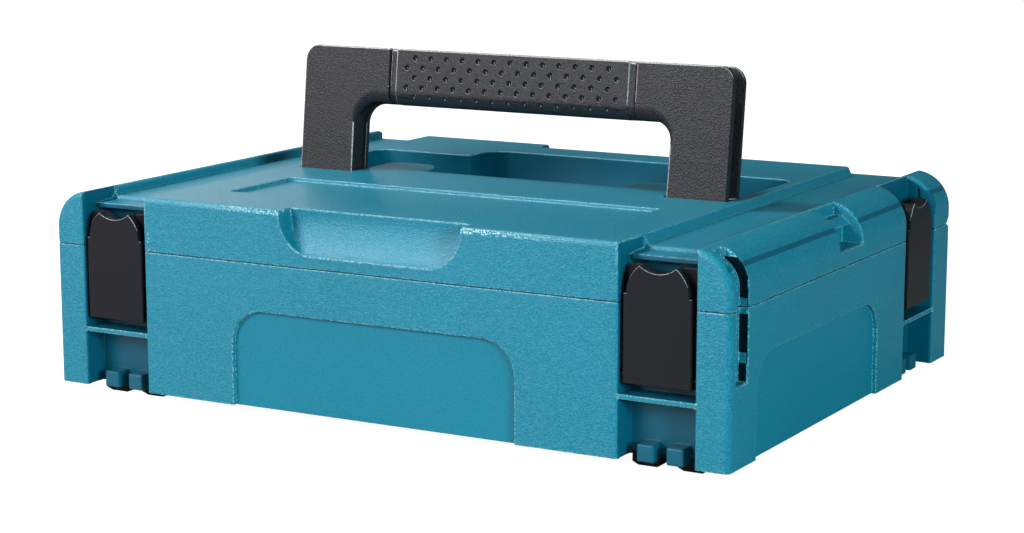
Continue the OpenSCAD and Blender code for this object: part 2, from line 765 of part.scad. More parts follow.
module handle_back_shell() color(black) on_handle()
    round_feet() wall_cut(back_y, handle_t / 2) handle_outline(0, 0);

module handle_grip() color(black) on_handle() difference() {
    union() {
        box(-grip_l / 2, grip_l / 2, -handle_t / 2, core_y, handle_h - bar_h, handle_h);
        // pad below the bar, behind the fingertips
        box(-grip_l / 2, grip_l / 2, core_y - eps, back_y - seat_gap, handle_h - bar_h,
            handle_h - bar_h + core_in - seat_gap);
    }
    bar_rounding(grip_l);
    ball = 1.8;
    sink = 1.1;
    for (row = [-2:2]) {
        count = dimples - (row % 2 == 0 ? 1 : 0);
        for (i = [0:count - 1])
            translate([(i - (count - 1) / 2) * dimple_pitch, -handle_t / 2 - ball + sink,
                    handle_h - bar_h / 2 + row * dimple_row])
                sphere(ball, $fn = 24);
    }
}

module handle_pin(side) color(steel) {
    x0 = trough_in - pin_grip + side_gap;
    x1 = trough_x + pin_grip - side_gap;
    rod(side > 0 ? x0 : -x1, side > 0 ? x1 : -x0, hinge_y, hinge_z, handle_pin_dia / 2);
}

module handle_pin_left() handle_pin(-1);
module handle_pin_right() handle_pin(1);

// ---- Latches ----

// Front plate: straight sides, then an arc to each upper corner, and a dip for the fingertip
module latch_face() {
    shoulder = latch_top - latch_taper_h;
    run = (latch_plate_w - latch_top_w) / 2;
    arc_r = (pow(run, 2) + pow(latch_taper_h, 2)) / (2 * run);
    dip_half = latch_top_w / 2 - 0.6;
    dip_r = (pow(dip_half, 2) + pow(dip_d, 2)) / (2 * dip_d);
    difference() {
        union() {
            translate([-latch_plate_w / 2, latch_z]) square([latch_plate_w, shoulder - latch_z]);
            intersection() {
                translate([latch_plate_w / 2 - arc_r, shoulder]) circle(arc_r, $fn = 96);
                translate([arc_r - latch_plate_w / 2, shoulder]) circle(arc_r, $fn = 96);
                translate([-latch_plate_w / 2, shoulder - 1]) square([latch_plate_w, latch_taper_h + 1]);
            }
        }
        translate([0, latch_top + dip_r - dip_d]) circle(dip_r);
    }
}

module latch() color(black) difference() {
    back_w = bay_w - 2 * side_gap;
    union() {
        wall_cut(0.5, latch_t) latch_face();
        wall_cut(latch_plate_t, latch_t)
            translate([-back_w / 2, latch_z]) square([back_w, latch_top - latch_taper_h - latch_z]);
        // wings beside the upper part, set back behind the plate
        wall_cut(latch_plate_t + wing_in, latch_t) difference() {
            arch(back_w, latch_z, latch_top - 0.5, 3);
            translate([-latch_top_w / 2, latch_top - latch_taper_h]) square([latch_top_w, latch_taper_h]);
        }
        // hook that stands over the lid's catch, or over the lugs of a case above
        run_x(-lug_w - lug_gap / 2, lug_w + lug_gap / 2)
            polygon([[latch_t - 1, hook_z], [nose_y, hook_z], [nose_y, hook_z + 1.5],
                [latch_t - 1, hook_z + hook_h + 2]]);
    }
    // room behind the plate for those lugs
    box(-lug_w - lug_gap, lug_w + lug_gap, latch_plate_t, latch_t + 1, hook_z - hook_gap, hook_z);
    // hollow back
    box(-back_w / 2 + wall, back_w / 2 - wall, latch_plate_t + 1, latch_t + 1, latch_z + 2 * axle_up + 2,
        hook_z - hook_gap - wall);
    rod(-bay_w, bay_w, axle_y, axle_z, axle_dia / 2 + pin_play);
}

module latch_front_left() at_front_bay(-1) latch();
module latch_front_right() at_front_bay(1) latch();
module latch_rear_left() at_rear_bay(-1) latch();
module latch_rear_right() at_rear_bay(1) latch();

module latch_axle(w) color(black)
    rod(-w / 2 - slot_d + pass_gap, w / 2 + slot_d - pass_gap, axle_y, axle_z, axle_dia / 2);

module latch_axle_front_left() at_front_bay(-1) latch_axle(bay_w);
module latch_axle_front_right() at_front_bay(1) latch_axle(bay_w);
module latch_axle_rear_left() at_rear_bay(-1) latch_axle(side_bay_w);
module latch_axle_rear_right() at_rear_bay(1) latch_axle(side_bay_w);

// ---- Feet: each stands just behind its bay, with two pads on a strip let into the underside ----

module foot_pad(x0) hull() {
    box(x0, x0 + foot_w, foot_in, foot_in + foot_d, foot_bevel, base_z - seat_gap);
    box(x0 + foot_bevel, x0 + foot_w - foot_bevel, foot_in + foot_bevel,
        foot_in + foot_d - foot_bevel, 0, eps);
}

module foot() color(rubber) {
    foot_pad(-foot_len / 2);
    foot_pad(foot_len / 2 - foot_w);
    box(-foot_len / 2, foot_len / 2, foot_in, foot_in + foot_d, base_z - seat_gap - eps,
        base_z + foot_strip_t);
}

module foot_seats() at_all_bays()
    box(-foot_len / 2 - seat_gap, foot_len / 2 + seat_gap, bay_d, foot_in + foot_d + seat_gap,
        base_z - 1, base_z + foot_strip_t);

module foot_front_left() at_front_bay(-1) foot();
module foot_front_right() at_front_bay(1) foot();
module foot_rear_left() at_rear_bay(-1) foot();
module foot_rear_right() at_rear_bay(1) foot();

body_shell();
lid_shell();
hinge_pin_left();
hinge_pin_right();
handle_front_shell();
handle_back_shell();
handle_grip();
handle_pin_left();
handle_pin_right();
latch_front_left();
latch_front_right();
latch_rear_left();
latch_rear_right();
latch_axle_front_left();
latch_axle_front_right();
latch_axle_rear_left();
latch_axle_rear_right();
foot_front_left();
foot_front_right();
foot_rear_left();
foot_rear_right();
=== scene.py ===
import json
import math
from contextlib import contextmanager

import bmesh
import bpy
from bpy.props import FloatProperty, FloatVectorProperty, IntProperty, PointerProperty
from mathutils import Matrix, Vector
from mathutils.geometry import intersect_point_line

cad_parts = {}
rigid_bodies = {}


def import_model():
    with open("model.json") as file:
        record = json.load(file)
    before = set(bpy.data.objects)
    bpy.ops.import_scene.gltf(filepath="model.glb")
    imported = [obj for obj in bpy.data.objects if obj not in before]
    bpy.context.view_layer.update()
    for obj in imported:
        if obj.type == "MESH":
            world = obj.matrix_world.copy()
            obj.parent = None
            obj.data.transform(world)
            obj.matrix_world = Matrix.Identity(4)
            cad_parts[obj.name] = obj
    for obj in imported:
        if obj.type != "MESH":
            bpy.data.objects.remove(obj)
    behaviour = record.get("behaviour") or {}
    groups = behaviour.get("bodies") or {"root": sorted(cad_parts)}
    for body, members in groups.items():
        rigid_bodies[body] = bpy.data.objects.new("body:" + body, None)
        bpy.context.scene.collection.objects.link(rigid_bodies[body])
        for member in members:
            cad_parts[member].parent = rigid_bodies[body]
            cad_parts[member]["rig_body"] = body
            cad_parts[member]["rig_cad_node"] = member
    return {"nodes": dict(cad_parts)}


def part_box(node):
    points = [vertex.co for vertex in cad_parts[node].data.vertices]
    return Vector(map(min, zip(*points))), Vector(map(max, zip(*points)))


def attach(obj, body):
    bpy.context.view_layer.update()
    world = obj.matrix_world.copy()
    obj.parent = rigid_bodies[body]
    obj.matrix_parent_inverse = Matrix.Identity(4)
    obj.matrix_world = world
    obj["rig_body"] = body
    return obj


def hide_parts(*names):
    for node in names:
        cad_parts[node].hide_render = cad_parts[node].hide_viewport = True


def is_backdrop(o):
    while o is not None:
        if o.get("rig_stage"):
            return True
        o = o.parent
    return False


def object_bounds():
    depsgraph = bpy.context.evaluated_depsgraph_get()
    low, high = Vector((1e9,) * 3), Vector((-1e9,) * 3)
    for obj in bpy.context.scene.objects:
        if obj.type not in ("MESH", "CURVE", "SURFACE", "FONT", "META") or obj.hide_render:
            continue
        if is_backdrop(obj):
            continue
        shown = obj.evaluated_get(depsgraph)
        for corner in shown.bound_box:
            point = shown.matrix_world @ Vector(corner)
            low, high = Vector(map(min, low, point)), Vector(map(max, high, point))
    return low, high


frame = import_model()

bl_info = {
    "name": "Hard tool case",
    "version": (1, 0, 0),
    "blender": (4, 5, 0),
    "location": "3D View > Sidebar > Tool Case",
    "description": "Dresses the packed tool case: rounded shells, handle, latches, plastics and stage",
    "category": "Object",
}

MM = 0.001

# Limits that merging, cutting and rounding work with, in metres and radians.
ON_PLANE = 1e-7
SAME_PLACE = 2e-6
CROSSED = 1e-5
LEAST_WIDTH = 0.00005
TAPER = 0.0025
FLAT = math.radians(0.5)
STRAIGHT = math.radians(0.02)
SLIVER = math.radians(1.5)
SHARP = math.radians(25.0)
BEND = math.radians(40.0)
SMOOTHED = math.radians(32.0)
# Shares of the room beside an edge that a rounding may fill, with another one across from it and without.
SHARED_ROOM, OWN_ROOM = 0.46, 0.9
# The share of a direction above which it counts as along an axis, and the one below which as across it.
ALONG, ACROSS = 0.9, 0.05

# The case's box, and the places on it in millimetres that follow from it.
CAD_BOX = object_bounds()
HALF_W, HALF_D, DECK_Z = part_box("lid_shell")[1] / MM
SEAM_Z = DECK_Z - 28.5
BASE_Z = SEAM_Z - 76.5
STRIP_Z = DECK_Z - 5.0
TROUGH_Z = DECK_Z - 20.0
RIM_W = 20.0
RIM_X = HALF_W - RIM_W
RIM_Z = DECK_Z - RIM_W
DECK_X = HALF_W - 58.25
BAY_X = HALF_W - 38.25
BAY_Y = HALF_D - 46.5
BAY_DEPTH, FRONT_BAY_HALF, SIDE_BAY_HALF = 18.5, 22.0, 24.5
AXLE_IN = 5.0
AXLE_Z = BASE_Z + 41.5
HANDLE_Y, HANDLE_Z = -3.7, DECK_Z - 9.0
HANDLE_LEAN = math.radians(6.7)
SHOULDER_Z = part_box("latch_front_left")[1].z / MM - 19.0
HINGE_X, HINGE_Y = 95.0, HALF_D - 4.5
HINGE_HALF, HINGE_REACH = 32.0, 8.5
CHANNEL_DEPTH = 18.0
CHANNEL_BACK = -HALF_D + 19.5
POST_CHANNEL_Y = -HALF_D + 6.0, -HALF_D + 20.0
POST_CHANNEL_FOOT = BASE_Z + 40.0
MID_CHANNEL_HALF, MID_CHANNEL_FOOT = 16.0, SEAM_Z + 7.0
SEAM_GAP = 0.4
# How far in from an outer face, a bay's opening or a channel's side a place still belongs to it.
SKIN, BAY_SKIN, CHANNEL_SKIN = 0.4, 0.6, 0.8

# Roundings of edges that hardly show, in metres.
SLOT_EDGE = 0.0001
HIDDEN_EDGE = 0.0002
CHANNEL_EDGE = 0.00025
FLOOR_EDGE = 0.0003
TROUGH_RIM, TROUGH_CORNER = 0.0007, 0.0005
# The longest edge round a dimple, in metres, how much wider the handle's upper front edge is rounded,
# and the steps in the roundings of the grip, which has too many edges for more.
DIMPLE_SIDE = 0.0009
UPPER_EDGE = 1.5
GRIP_STEPS = 2

# Finishes of the teal pieces and of the black ones, by material slot. The fourth teal finish is painted shade
# on the channel walls behind the windows, and the second black one is a painted highlight on edges that face
# the lights.
GRAINED, SATIN, FINE, PAINTED_SHADE = range(4)
BLACK, PAINTED_HIGHLIGHT, SMOOTH = range(3)
# What the grain's slow tone and its crumbs range over, and the grains that aren't settings.
TONES, CRUMBS = (0.3, 0.7), (0.50, 0.95)
SATIN_GRAIN, BLACK_GRAIN, FOOT_GRAIN, STEEL_GRAIN = 0.0022, 0.0011, 0.0012, 0.0006
STEEL = 0.55, 0.56, 0.58
# How much glossier and duller than its roughness a plastic gets with the slow tone.
GLOSSIER, DULLER = 0.03, 0.04

# The stage: where the floor darkens and from what shade to what, in metres; the place that the lights face.
FLOOR_SIZE, FLOOR_BACK = 8.0, 1.5
FLOOR_FADE, FLOOR_SHADES = (0.1, 0.6), (0.42, 0.08)
LIT_PLACE = Vector((0.0, 0.0, 0.06))
WHITE, COOL = (1.0, 1.0, 1.0), (0.55, 0.97, 1.0)


# ---- Settings that a user would change ----

class CaseFinish(bpy.types.PropertyGroup):
    teal: FloatVectorProperty(name="Teal", description="Colour of the grained outer plastic",
        subtype="COLOR", size=3, min=0, max=1, default=(0.002, 0.190, 0.282))
    satin: FloatVectorProperty(name="Satin teal", description="Colour of the smooth inner faces",
        subtype="COLOR", size=3, min=0, max=1, default=(0.002, 0.105, 0.170))
    # Painted shade: near-black teal painted on the back walls of the post channels where the windows open,
    # standing in for the dark seen through them.
    window: FloatVectorProperty(name="Window",
        description="Colour deep in the windows of the rim channels",
        subtype="COLOR", size=3, min=0, max=1, default=(0.0005, 0.010, 0.016))
    # Painted highlight: pale colour painted on grain specks along rounded edges, and on a few flecks on flat
    # faces, standing in for light sparkling on the grain.
    painted_glint: FloatVectorProperty(name="Glint", description="Colour of the grains that shine on rounded edges",
        subtype="COLOR", size=3, min=0, max=1, default=(0.45, 0.72, 0.77))
    handle: FloatVectorProperty(name="Handle", description="Colour of the handle",
        subtype="COLOR", size=3, min=0, max=1, default=(0.020, 0.017, 0.020))
    # Painted highlight: pale grey painted on the rounded edges of handle and latches that face the lights,
    # and on the steps at the grip's end bands.
    rim: FloatVectorProperty(name="Black edges",
        description="Colour of the edges of handle and latches that face the light",
        subtype="COLOR", size=3, min=0, max=1, default=(0.320, 0.295, 0.305))
    latch: FloatVectorProperty(name="Latch", description="Colour of the latches",
        subtype="COLOR", size=3, min=0, max=1, default=(0.012, 0.011, 0.014))
    foot: FloatVectorProperty(name="Foot", description="Colour of the feet",
        subtype="COLOR", size=3, min=0, max=1, default=(0.010, 0.010, 0.012))
    grain: FloatProperty(name="Grain size", description="Size of one grain of the spark texture",
        subtype="DISTANCE", unit="LENGTH", default=0.0007, min=0.0002, max=0.003)
    soft_edge: FloatProperty(name="Soft edge", description="Rounding that the shading adds to every edge",
        subtype="DISTANCE", unit="LENGTH", default=0.0011, min=0.0001, max=0.002)
    handle_grain: FloatProperty(name="Handle grain size", description="Size of one grain of the handle",
        subtype="DISTANCE", unit="LENGTH", default=0.0007, min=0.0002, max=0.003)


class CaseRounding(bpy.types.PropertyGroup):
    edge: FloatProperty(name="Edges", description="Rounding of the ordinary moulded edges",
        subtype="DISTANCE", unit="LENGTH", default=0.0005, min=0.0001, max=0.001)
    seam: FloatProperty(name="Seam", description="Rounding along the seam between body and lid",
        subtype="DISTANCE", unit="LENGTH", default=0.00035, min=0.0001, max=0.001)
    deck: FloatProperty(name="Deck",
        description="Rounding of the edges of the deck and of the lips over the latches",
        subtype="DISTANCE", unit="LENGTH", default=0.0009, min=0.0005, max=0.0012)
    lug: FloatProperty(name="Lugs", description="Rounding of the coupling lugs",
        subtype="DISTANCE", unit="LENGTH", default=0.0009, min=0.0003, max=0.0015)
    latch: FloatProperty(name="Latch", description="Rounding of the front edges of the latches",
        subtype="DISTANCE", unit="LENGTH", default=0.0006, min=0.0002, max=0.001)
    channel: FloatProperty(name="Channels", description="Rounding of the channels in the rims",
        subtype="DISTANCE", unit="LENGTH", default=0.001, min=0.0003, max=0.0015)
    scoop: FloatProperty(name="Scoop", description="Rounding of the rim of the grab scoop",
        subtype="DISTANCE", unit="LENGTH", default=0.001, min=0.0005, max=0.002)
    trough_foot: FloatProperty(name="Trough foot",
        description="Hollow rounding at the foot of the trough walls",
        subtype="DISTANCE", unit="LENGTH", default=0.0011, min=0.0005, max=0.003)
    segments: IntProperty(name="Segments", description="Steps in each rounding", default=3, min=1, max=5)


class CaseHandle(bpy.types.PropertyGroup):
    edge: FloatProperty(name="Edge", description="Rounding of the edges of the handle",
        subtype="DISTANCE", unit="LENGTH", default=0.0006, min=0.0002, max=0.002)
    dimple: FloatProperty(name="Dimple edge", description="Rounding of the dimples' edges",
        subtype="DISTANCE", unit="LENGTH", default=0.00018, min=0.0001, max=0.0004)
    band: FloatProperty(name="End band", description="Width of the lowered band at each end of the grip",
        subtype="DISTANCE", unit="LENGTH", default=0.0038, min=0.001, max=0.006)
    band_depth: FloatProperty(name="Band depth", description="Depth of the lowered bands of the grip",
        subtype="DISTANCE", unit="LENGTH", default=0.0008, min=0.0002, max=0.0015)
    leg_round: FloatProperty(name="Leg rounding",
        description="What is left of the finger rounding down the legs",
        subtype="DISTANCE", unit="LENGTH", default=0.0015, min=0.0005, max=0.004)


class CaseStage(bpy.types.PropertyGroup):
    lens: FloatProperty(name="Lens", description="Focal length of the camera",
        subtype="DISTANCE_CAMERA", default=86.41, min=20, max=200)
    azimuth: FloatProperty(name="Azimuth", description="Turn of the camera to the right of the front",
        subtype="ANGLE", unit="ROTATION", default=math.radians(29.83))
    elevation: FloatProperty(name="Elevation", description="Height angle of the camera",
        subtype="ANGLE", unit="ROTATION", default=math.radians(10.71))
    roll: FloatProperty(name="Roll", description="Turn of the camera about its line of sight",
        subtype="ANGLE", unit="ROTATION", default=math.radians(0.10))
    camera: FloatVectorProperty(name="Camera",
        description="Where the camera stands, as solved from the photograph",
        subtype="TRANSLATION", unit="LENGTH", size=3, default=(0.65174, -1.16071, 0.30820))
    shift: FloatVectorProperty(name="Shift",
        description="Shift of the picture to the right and up, in widths of the picture",
        size=2, default=(0.0208, 0.0117))
    key: FloatProperty(name="Key light", description="Power of the large light at the front left",
        subtype="POWER", unit="POWER", default=35.0, min=0, max=500)
    side: FloatProperty(name="Side light", description="Power of the light at the right",
        subtype="POWER", unit="POWER", default=27.0, min=0, max=500)
    top: FloatProperty(name="Top light", description="Power of the light above the front left",
        subtype="POWER", unit="POWER", default=21.0, min=0, max=500)
    sheen: FloatProperty(name="Sheen light",
        description="Power of the low light at the back left, which the deck mirrors",
        subtype="POWER", unit="POWER", default=4.5, min=0, max=500)
    fill: FloatProperty(name="Fill", description="Brightness of the surroundings as the case sees them",
        default=0.08, min=0, max=3)
    floor_glow: FloatProperty(name="Floor glow",
        description="Brightness that the floor shows to the camera on top of its own",
        default=0.95, min=0, max=1)


# ---- Small helpers ----

def pick(piece):
    """Selects this piece alone, in object mode."""
    if bpy.context.mode != "OBJECT":
        bpy.ops.object.mode_set(mode="OBJECT")
    bpy.ops.object.select_all(action="DESELECT")
    piece.select_set(True)
    bpy.context.view_layer.objects.active = piece


@contextmanager
def bmesh_of(mesh):
    """The mesh opened for shaping, and written back at the end."""
    work = bmesh.new()
    work.from_mesh(mesh)
    yield work
    work.to_mesh(mesh)
    work.free()


def slice_faces(work, faces, place, across):
    """Cuts these faces where they meet the plane through place, square to across."""
    edges = dict.fromkeys(edge for face in faces for edge in face.edges)
    verts = dict.fromkeys(vert for face in faces for vert in face.verts)
    return bmesh.ops.bisect_plane(work, geom=[*faces, *edges, *verts], dist=ON_PLANE,
        plane_co=place, plane_no=across)


def flat_fields(work):
    """Groups of neighbouring faces that lie in one plane, always in the same order."""
    found, seen = [], set()
    for start in work.faces:
        if start in seen:
            continue
        group, queue = {start: None}, [start]
        while queue:
            for edge in queue.pop().edges:
                if len(edge.link_faces) == 2 and edge.calc_face_angle() < FLAT:
                    for other in edge.link_faces:
                        if other not in group:
                            group[other] = None
                            queue.append(other)
        seen.update(group)
        if len(group) > 1:
            found.append(group)
    return found


def outlines(group):
    """Boxes round the separate outlines of a flat field, the largest first."""
    border = {}
    for face in group:
        for edge in face.edges:
            if sum(other in group for other in edge.link_faces) == 1:
                for vert in edge.verts:
                    border.setdefault(vert, []).append(edge)
    boxes, seen = [], set()
    for start in border:
        if start in seen:
            continue
        seen.add(start)
        loop, queue = [start], [start]
        while queue:
            vert = queue.pop()
            for edge in border[vert]:
                other = edge.other_vert(vert)
                if other not in seen:
                    seen.add(other)
                    loop.append(other)
                    queue.append(other)
        boxes.append(tuple(Vector([reach(vert.co[i] for vert in loop) for i in range(3)])
                           for reach in (min, max)))
    return sorted(boxes, key=lambda box: -(box[1] - box[0]).length)


def cuts_through_holes(group):
    """The fewest upright or level cuts that open every hole of a flat field."""
    boxes = outlines(group)
    normal = next(iter(group)).normal
    axes = [i for i in range(3) if abs(normal[i]) < ACROSS] or [i for i in range(3) if abs(normal[i]) < ALONG]
    cuts, left = [], boxes[1:]
    while left:
        best = None
        for low, high in left:
            middle = (low + high) / 2
            for axis in axes:
                crossed = [box for box in left
                           if box[0][axis] + CROSSED < middle[axis] < box[1][axis] - CROSSED]
                rank = (len(crossed), (boxes[0][1] - boxes[0][0])[axis])
                if crossed and (best is None or rank > best[0]):
                    best = (rank, axis, middle, crossed)
        if best is None:
            break
        cuts.append(best[1:3])
        left = [box for box in left if box not in best[3]]
    return cuts


def open_holes(work):
    """Cuts each flat field that has holes, so that its faces can be joined without any."""
    for group in flat_fields(work):
        faces = list(group)
        for axis, middle in cuts_through_holes(group):
            across = Vector([float(i == axis) for i in range(3)])
            cut = slice_faces(work, faces, middle, across)
            faces = dict.fromkeys(item for item in cut["geom"] if isinstance(item, bmesh.types.BMFace))
            for item in cut["geom_cut"]:
                if isinstance(item, bmesh.types.BMEdge) and all(face in faces for face in item.link_faces):
                    item.seam = True


def worked_copy(node, name):
    """A merged copy of a CAD node, with its flat faces made whole again."""
    pick(frame["nodes"][node])
    bpy.ops.object.duplicate(linked=False)
    piece = bpy.context.active_object
    piece.parent = None
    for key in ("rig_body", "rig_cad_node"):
        if key in piece:
            del piece[key]
    piece.name = name
    piece.data.name = name
    piece.data.materials.clear()
    bpy.ops.object.mode_set(mode="EDIT")
    bpy.ops.mesh.select_all(action="SELECT")
    bpy.ops.mesh.remove_doubles(threshold=SAME_PLACE)
    open_holes(bmesh.from_edit_mesh(piece.data))
    bmesh.update_edit_mesh(piece.data)
    bpy.ops.mesh.select_all(action="SELECT")
    bpy.ops.mesh.dissolve_limited(angle_limit=FLAT, delimit={"SEAM"})
    bpy.ops.object.mode_set(mode="OBJECT")
    return piece


def sharp_edges(work):
    return [edge for edge in work.edges if edge.is_manifold and edge.calc_face_angle() > SHARP]


def part_long_edges(edges):
    """Splits long edges near both ends, so that a rounding can change its width there without a bend."""
    for edge in edges:
        length = edge.calc_length()
        if length > 4 * TAPER:
            first, last = edge.verts
            rest, _ = bmesh.utils.edge_split(edge, first, TAPER / length)
            longest = max((rest, edge), key=lambda part: part.calc_length())
            bmesh.utils.edge_split(longest, last, TAPER / longest.calc_length())


def has_sliver(vert, sharp):
    """Whether two soft edges leave this vertex so close together that a face between them is a sliver."""
    soft = [edge.other_vert(vert).co - vert.co for edge in vert.link_edges if edge not in sharp]
    return any(first.angle(other) < SLIVER for i, first in enumerate(soft) for other in soft[:i])


def room_across(loop, widths):
    """Room up to the edges that face this one across its face."""
    ends = loop.vert.co, loop.link_loop_next.vert.co
    inward = loop.face.normal.cross(ends[1] - ends[0]).normalized()
    room = math.inf
    for other in loop.face.loops:
        if other in (loop, loop.link_loop_next, loop.link_loop_prev):
            continue
        first, last = other.vert.co, other.link_loop_next.vert.co
        for start in (*ends, (ends[0] + ends[1]) / 2):
            place, share = intersect_point_line(start, first, last)
            gap = first.lerp(last, min(max(share, 0.0), 1.0)) - start
            if gap.dot(inward) > gap.length / 2:
                room = min(room, gap.length * (SHARED_ROOM if other.edge in widths else OWN_ROOM))
    return room


def room_beside(edge, widths):
    """The widest rounding that the faces and edges round this one leave room for."""
    if any(has_sliver(vert, widths) for vert in edge.verts):
        return 0.0
    along = edge.verts[1].co - edge.verts[0].co
    room = math.inf
    for loop in edge.link_loops:
        room = min(room, room_across(loop, widths))
        for other, vert in ((loop.link_loop_next.edge, loop.link_loop_next.vert),
                            (loop.link_loop_prev.edge, loop.vert)):
            end = other.other_vert(vert)
            turn = math.sin(along.angle(end.co - vert.co))
            if turn > math.sin(BEND):
                crowded = any(item in widths for item in end.link_edges if item is not other)
                room = min(room, other.calc_length() * turn * (SHARED_ROOM if crowded else OWN_ROOM))
    return room


def even_along_bends(widths):
    """One width for all edges that follow one another round a gentle bend."""
    left = dict.fromkeys(widths)
    while left:
        start, _ = left.popitem()
        chain, queue = {start}, [start]
        while queue:
            edge = queue.pop()
            for loop in edge.link_loops:
                for beside, vert in ((loop.link_loop_next, loop.link_loop_next.vert),
                                     (loop.link_loop_prev, loop.vert)):
                    other = beside.edge
                    if other in left:
                        ahead = other.other_vert(vert).co - vert.co
                        back = vert.co - edge.other_vert(vert).co
                        if STRAIGHT < back.angle(ahead) < BEND:
                            del left[other]
                            chain.add(other)
                            queue.append(other)
        width = min(widths[edge] for edge in chain)
        for edge in chain:
            widths[edge] = width


def weigh_edges(work, width_of):
    """Marks each sharp edge with its share of the widest rounding, and returns that width."""
    layers = work.edges.layers.float
    weight = layers.get("bevel_weight_edge") or layers.new("bevel_weight_edge")
    part_long_edges(sharp_edges(work))
    widths = {}
    for edge in sharp_edges(work):
        width = width_of((edge.verts[0].co + edge.verts[1].co) / (2 * MM), edge)
        if width > 0.0:
            widths[edge] = width
    rooms = {edge: room_beside(edge, widths) for edge in widths}
    widths = {edge: min(width, rooms[edge]) for edge, width in widths.items() if rooms[edge] > LEAST_WIDTH}
    even_along_bends(widths)
    widest = max(widths.values())
    for edge, width in widths.items():
        edge[weight] = width / widest
    return widest


def round_edges(piece, width_of, segments, painted_highlight_slot=-1):
    """Bevels every sharp edge by the width, in metres, that width_of(middle, edge) gives for it, and puts the
    new faces in the painted highlight slot where one is given.
    """
    with bmesh_of(piece.data) as work:
        widest = weigh_edges(work, width_of)
    pick(piece)
    bevel = piece.modifiers.new("Rounding", "BEVEL")
    bevel.limit_method = "WEIGHT"
    bevel.width = widest
    bevel.segments = segments
    bevel.use_clamp_overlap = False
    bevel.material = painted_highlight_slot
    bevel.loop_slide = False
    bpy.ops.object.modifier_apply(modifier=bevel.name)


def smooth(piece):
    """Smooth shading in which the large flat faces stay flat."""
    pick(piece)
    bpy.ops.object.shade_smooth_by_angle(angle=SMOOTHED)
    even = piece.modifiers.new("Even", "WEIGHTED_NORMAL")
    even.mode = "FACE_AREA"
    even.weight = 80
    even.keep_sharp = True
    bpy.ops.object.modifier_apply(modifier=even.name)


def settle(piece, body, node):
    """Lets a finished piece ride on its body and stand for its CAD node."""
    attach(piece, body)
    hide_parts(node)


def dress(node, material):
    """Gives a CAD node that stays in view its finish."""
    data = frame["nodes"][node].data
    data.materials.clear()
    data.materials.append(material)


# ---- Shared shader groups ----

def new_group(name, inputs, outputs):
    """An empty shader group with these sockets, and its two end nodes."""
    group = bpy.data.node_groups.new(name, "ShaderNodeTree")
    for label, kind, value in inputs:
        socket = group.interface.new_socket(name=label, in_out="INPUT", socket_type=kind)
        if value is not None:
            socket.default_value = value
    for label, kind in outputs:
        group.interface.new_socket(name=label, in_out="OUTPUT", socket_type=kind)
    return group, group.nodes.new("NodeGroupInput"), group.nodes.new("NodeGroupOutput")


def put(tree, value, socket):
    """Links an output to a socket, or gives the socket a plain value."""
    if isinstance(value, bpy.types.NodeSocket):
        tree.links.new(value, socket)
    else:
        socket.default_value = value


def maths(tree, operation, first, second):
    """The result of a sum on two outputs or plain values."""
    node = tree.nodes.new("ShaderNodeMath")
    node.operation = operation
    put(tree, first, node.inputs[0])
    put(tree, second, node.inputs[1])
    return node.outputs[0]


def ranged(tree, value, source, target=(0.0, 1.0)):
    """The value moved from one range to another, and held within it."""
    node = tree.nodes.new("ShaderNodeMapRange")
    for label, bound in zip(("From Min", "From Max", "To Min", "To Max"), (*source, *target)):
        node.inputs[label].default_value = bound
    tree.links.new(value, node.inputs["Value"])
    return node.outputs["Result"]


def on_object(tree):
    """The place on the piece, in its own metres."""
    return tree.nodes.new("ShaderNodeTexCoord").outputs["Object"]


def noise(tree, place, scale, detail, roughness=0.5):
    """Soft random values over the piece, scale to the metre."""
    node = tree.nodes.new("ShaderNodeTexNoise")
    node.inputs["Detail"].default_value = detail
    node.inputs["Roughness"].default_value = roughness
    tree.links.new(place, node.inputs["Vector"])
    put(tree, scale, node.inputs["Scale"])
    return node.outputs["Fac"]


def spark_grain():
    """Height of an eroded mould texture, small pits and crumbs, and a slow unevenness beside it."""
    name = "spark_grain"
    if name in bpy.data.node_groups:
        return bpy.data.node_groups[name]
    group, inlet, outlet = new_group(name,
        [("Size", "NodeSocketFloat", 0.0007), ("Crumb", "NodeSocketFloat", 0.5)],
        [("Height", "NodeSocketFloat"), ("Tone", "NodeSocketFloat")])
    place = on_object(group)
    scale = maths(group, "DIVIDE", 1.0, inlet.outputs["Size"])
    crumbs = noise(group, place, scale, detail=1.5, roughness=0.6)
    pits = group.nodes.new("ShaderNodeTexVoronoi")
    pits.feature = "SMOOTH_F1"
    pits.inputs["Smoothness"].default_value = 0.6
    group.links.new(place, pits.inputs["Vector"])
    group.links.new(maths(group, "MULTIPLY", scale, 0.8), pits.inputs["Scale"])
    share = maths(group, "MULTIPLY", pits.outputs["Distance"], inlet.outputs["Crumb"])
    group.links.new(maths(group, "ADD", crumbs, share), outlet.inputs["Height"])
    group.links.new(noise(group, place, 9.0, detail=3.0), outlet.inputs["Tone"])
    return group


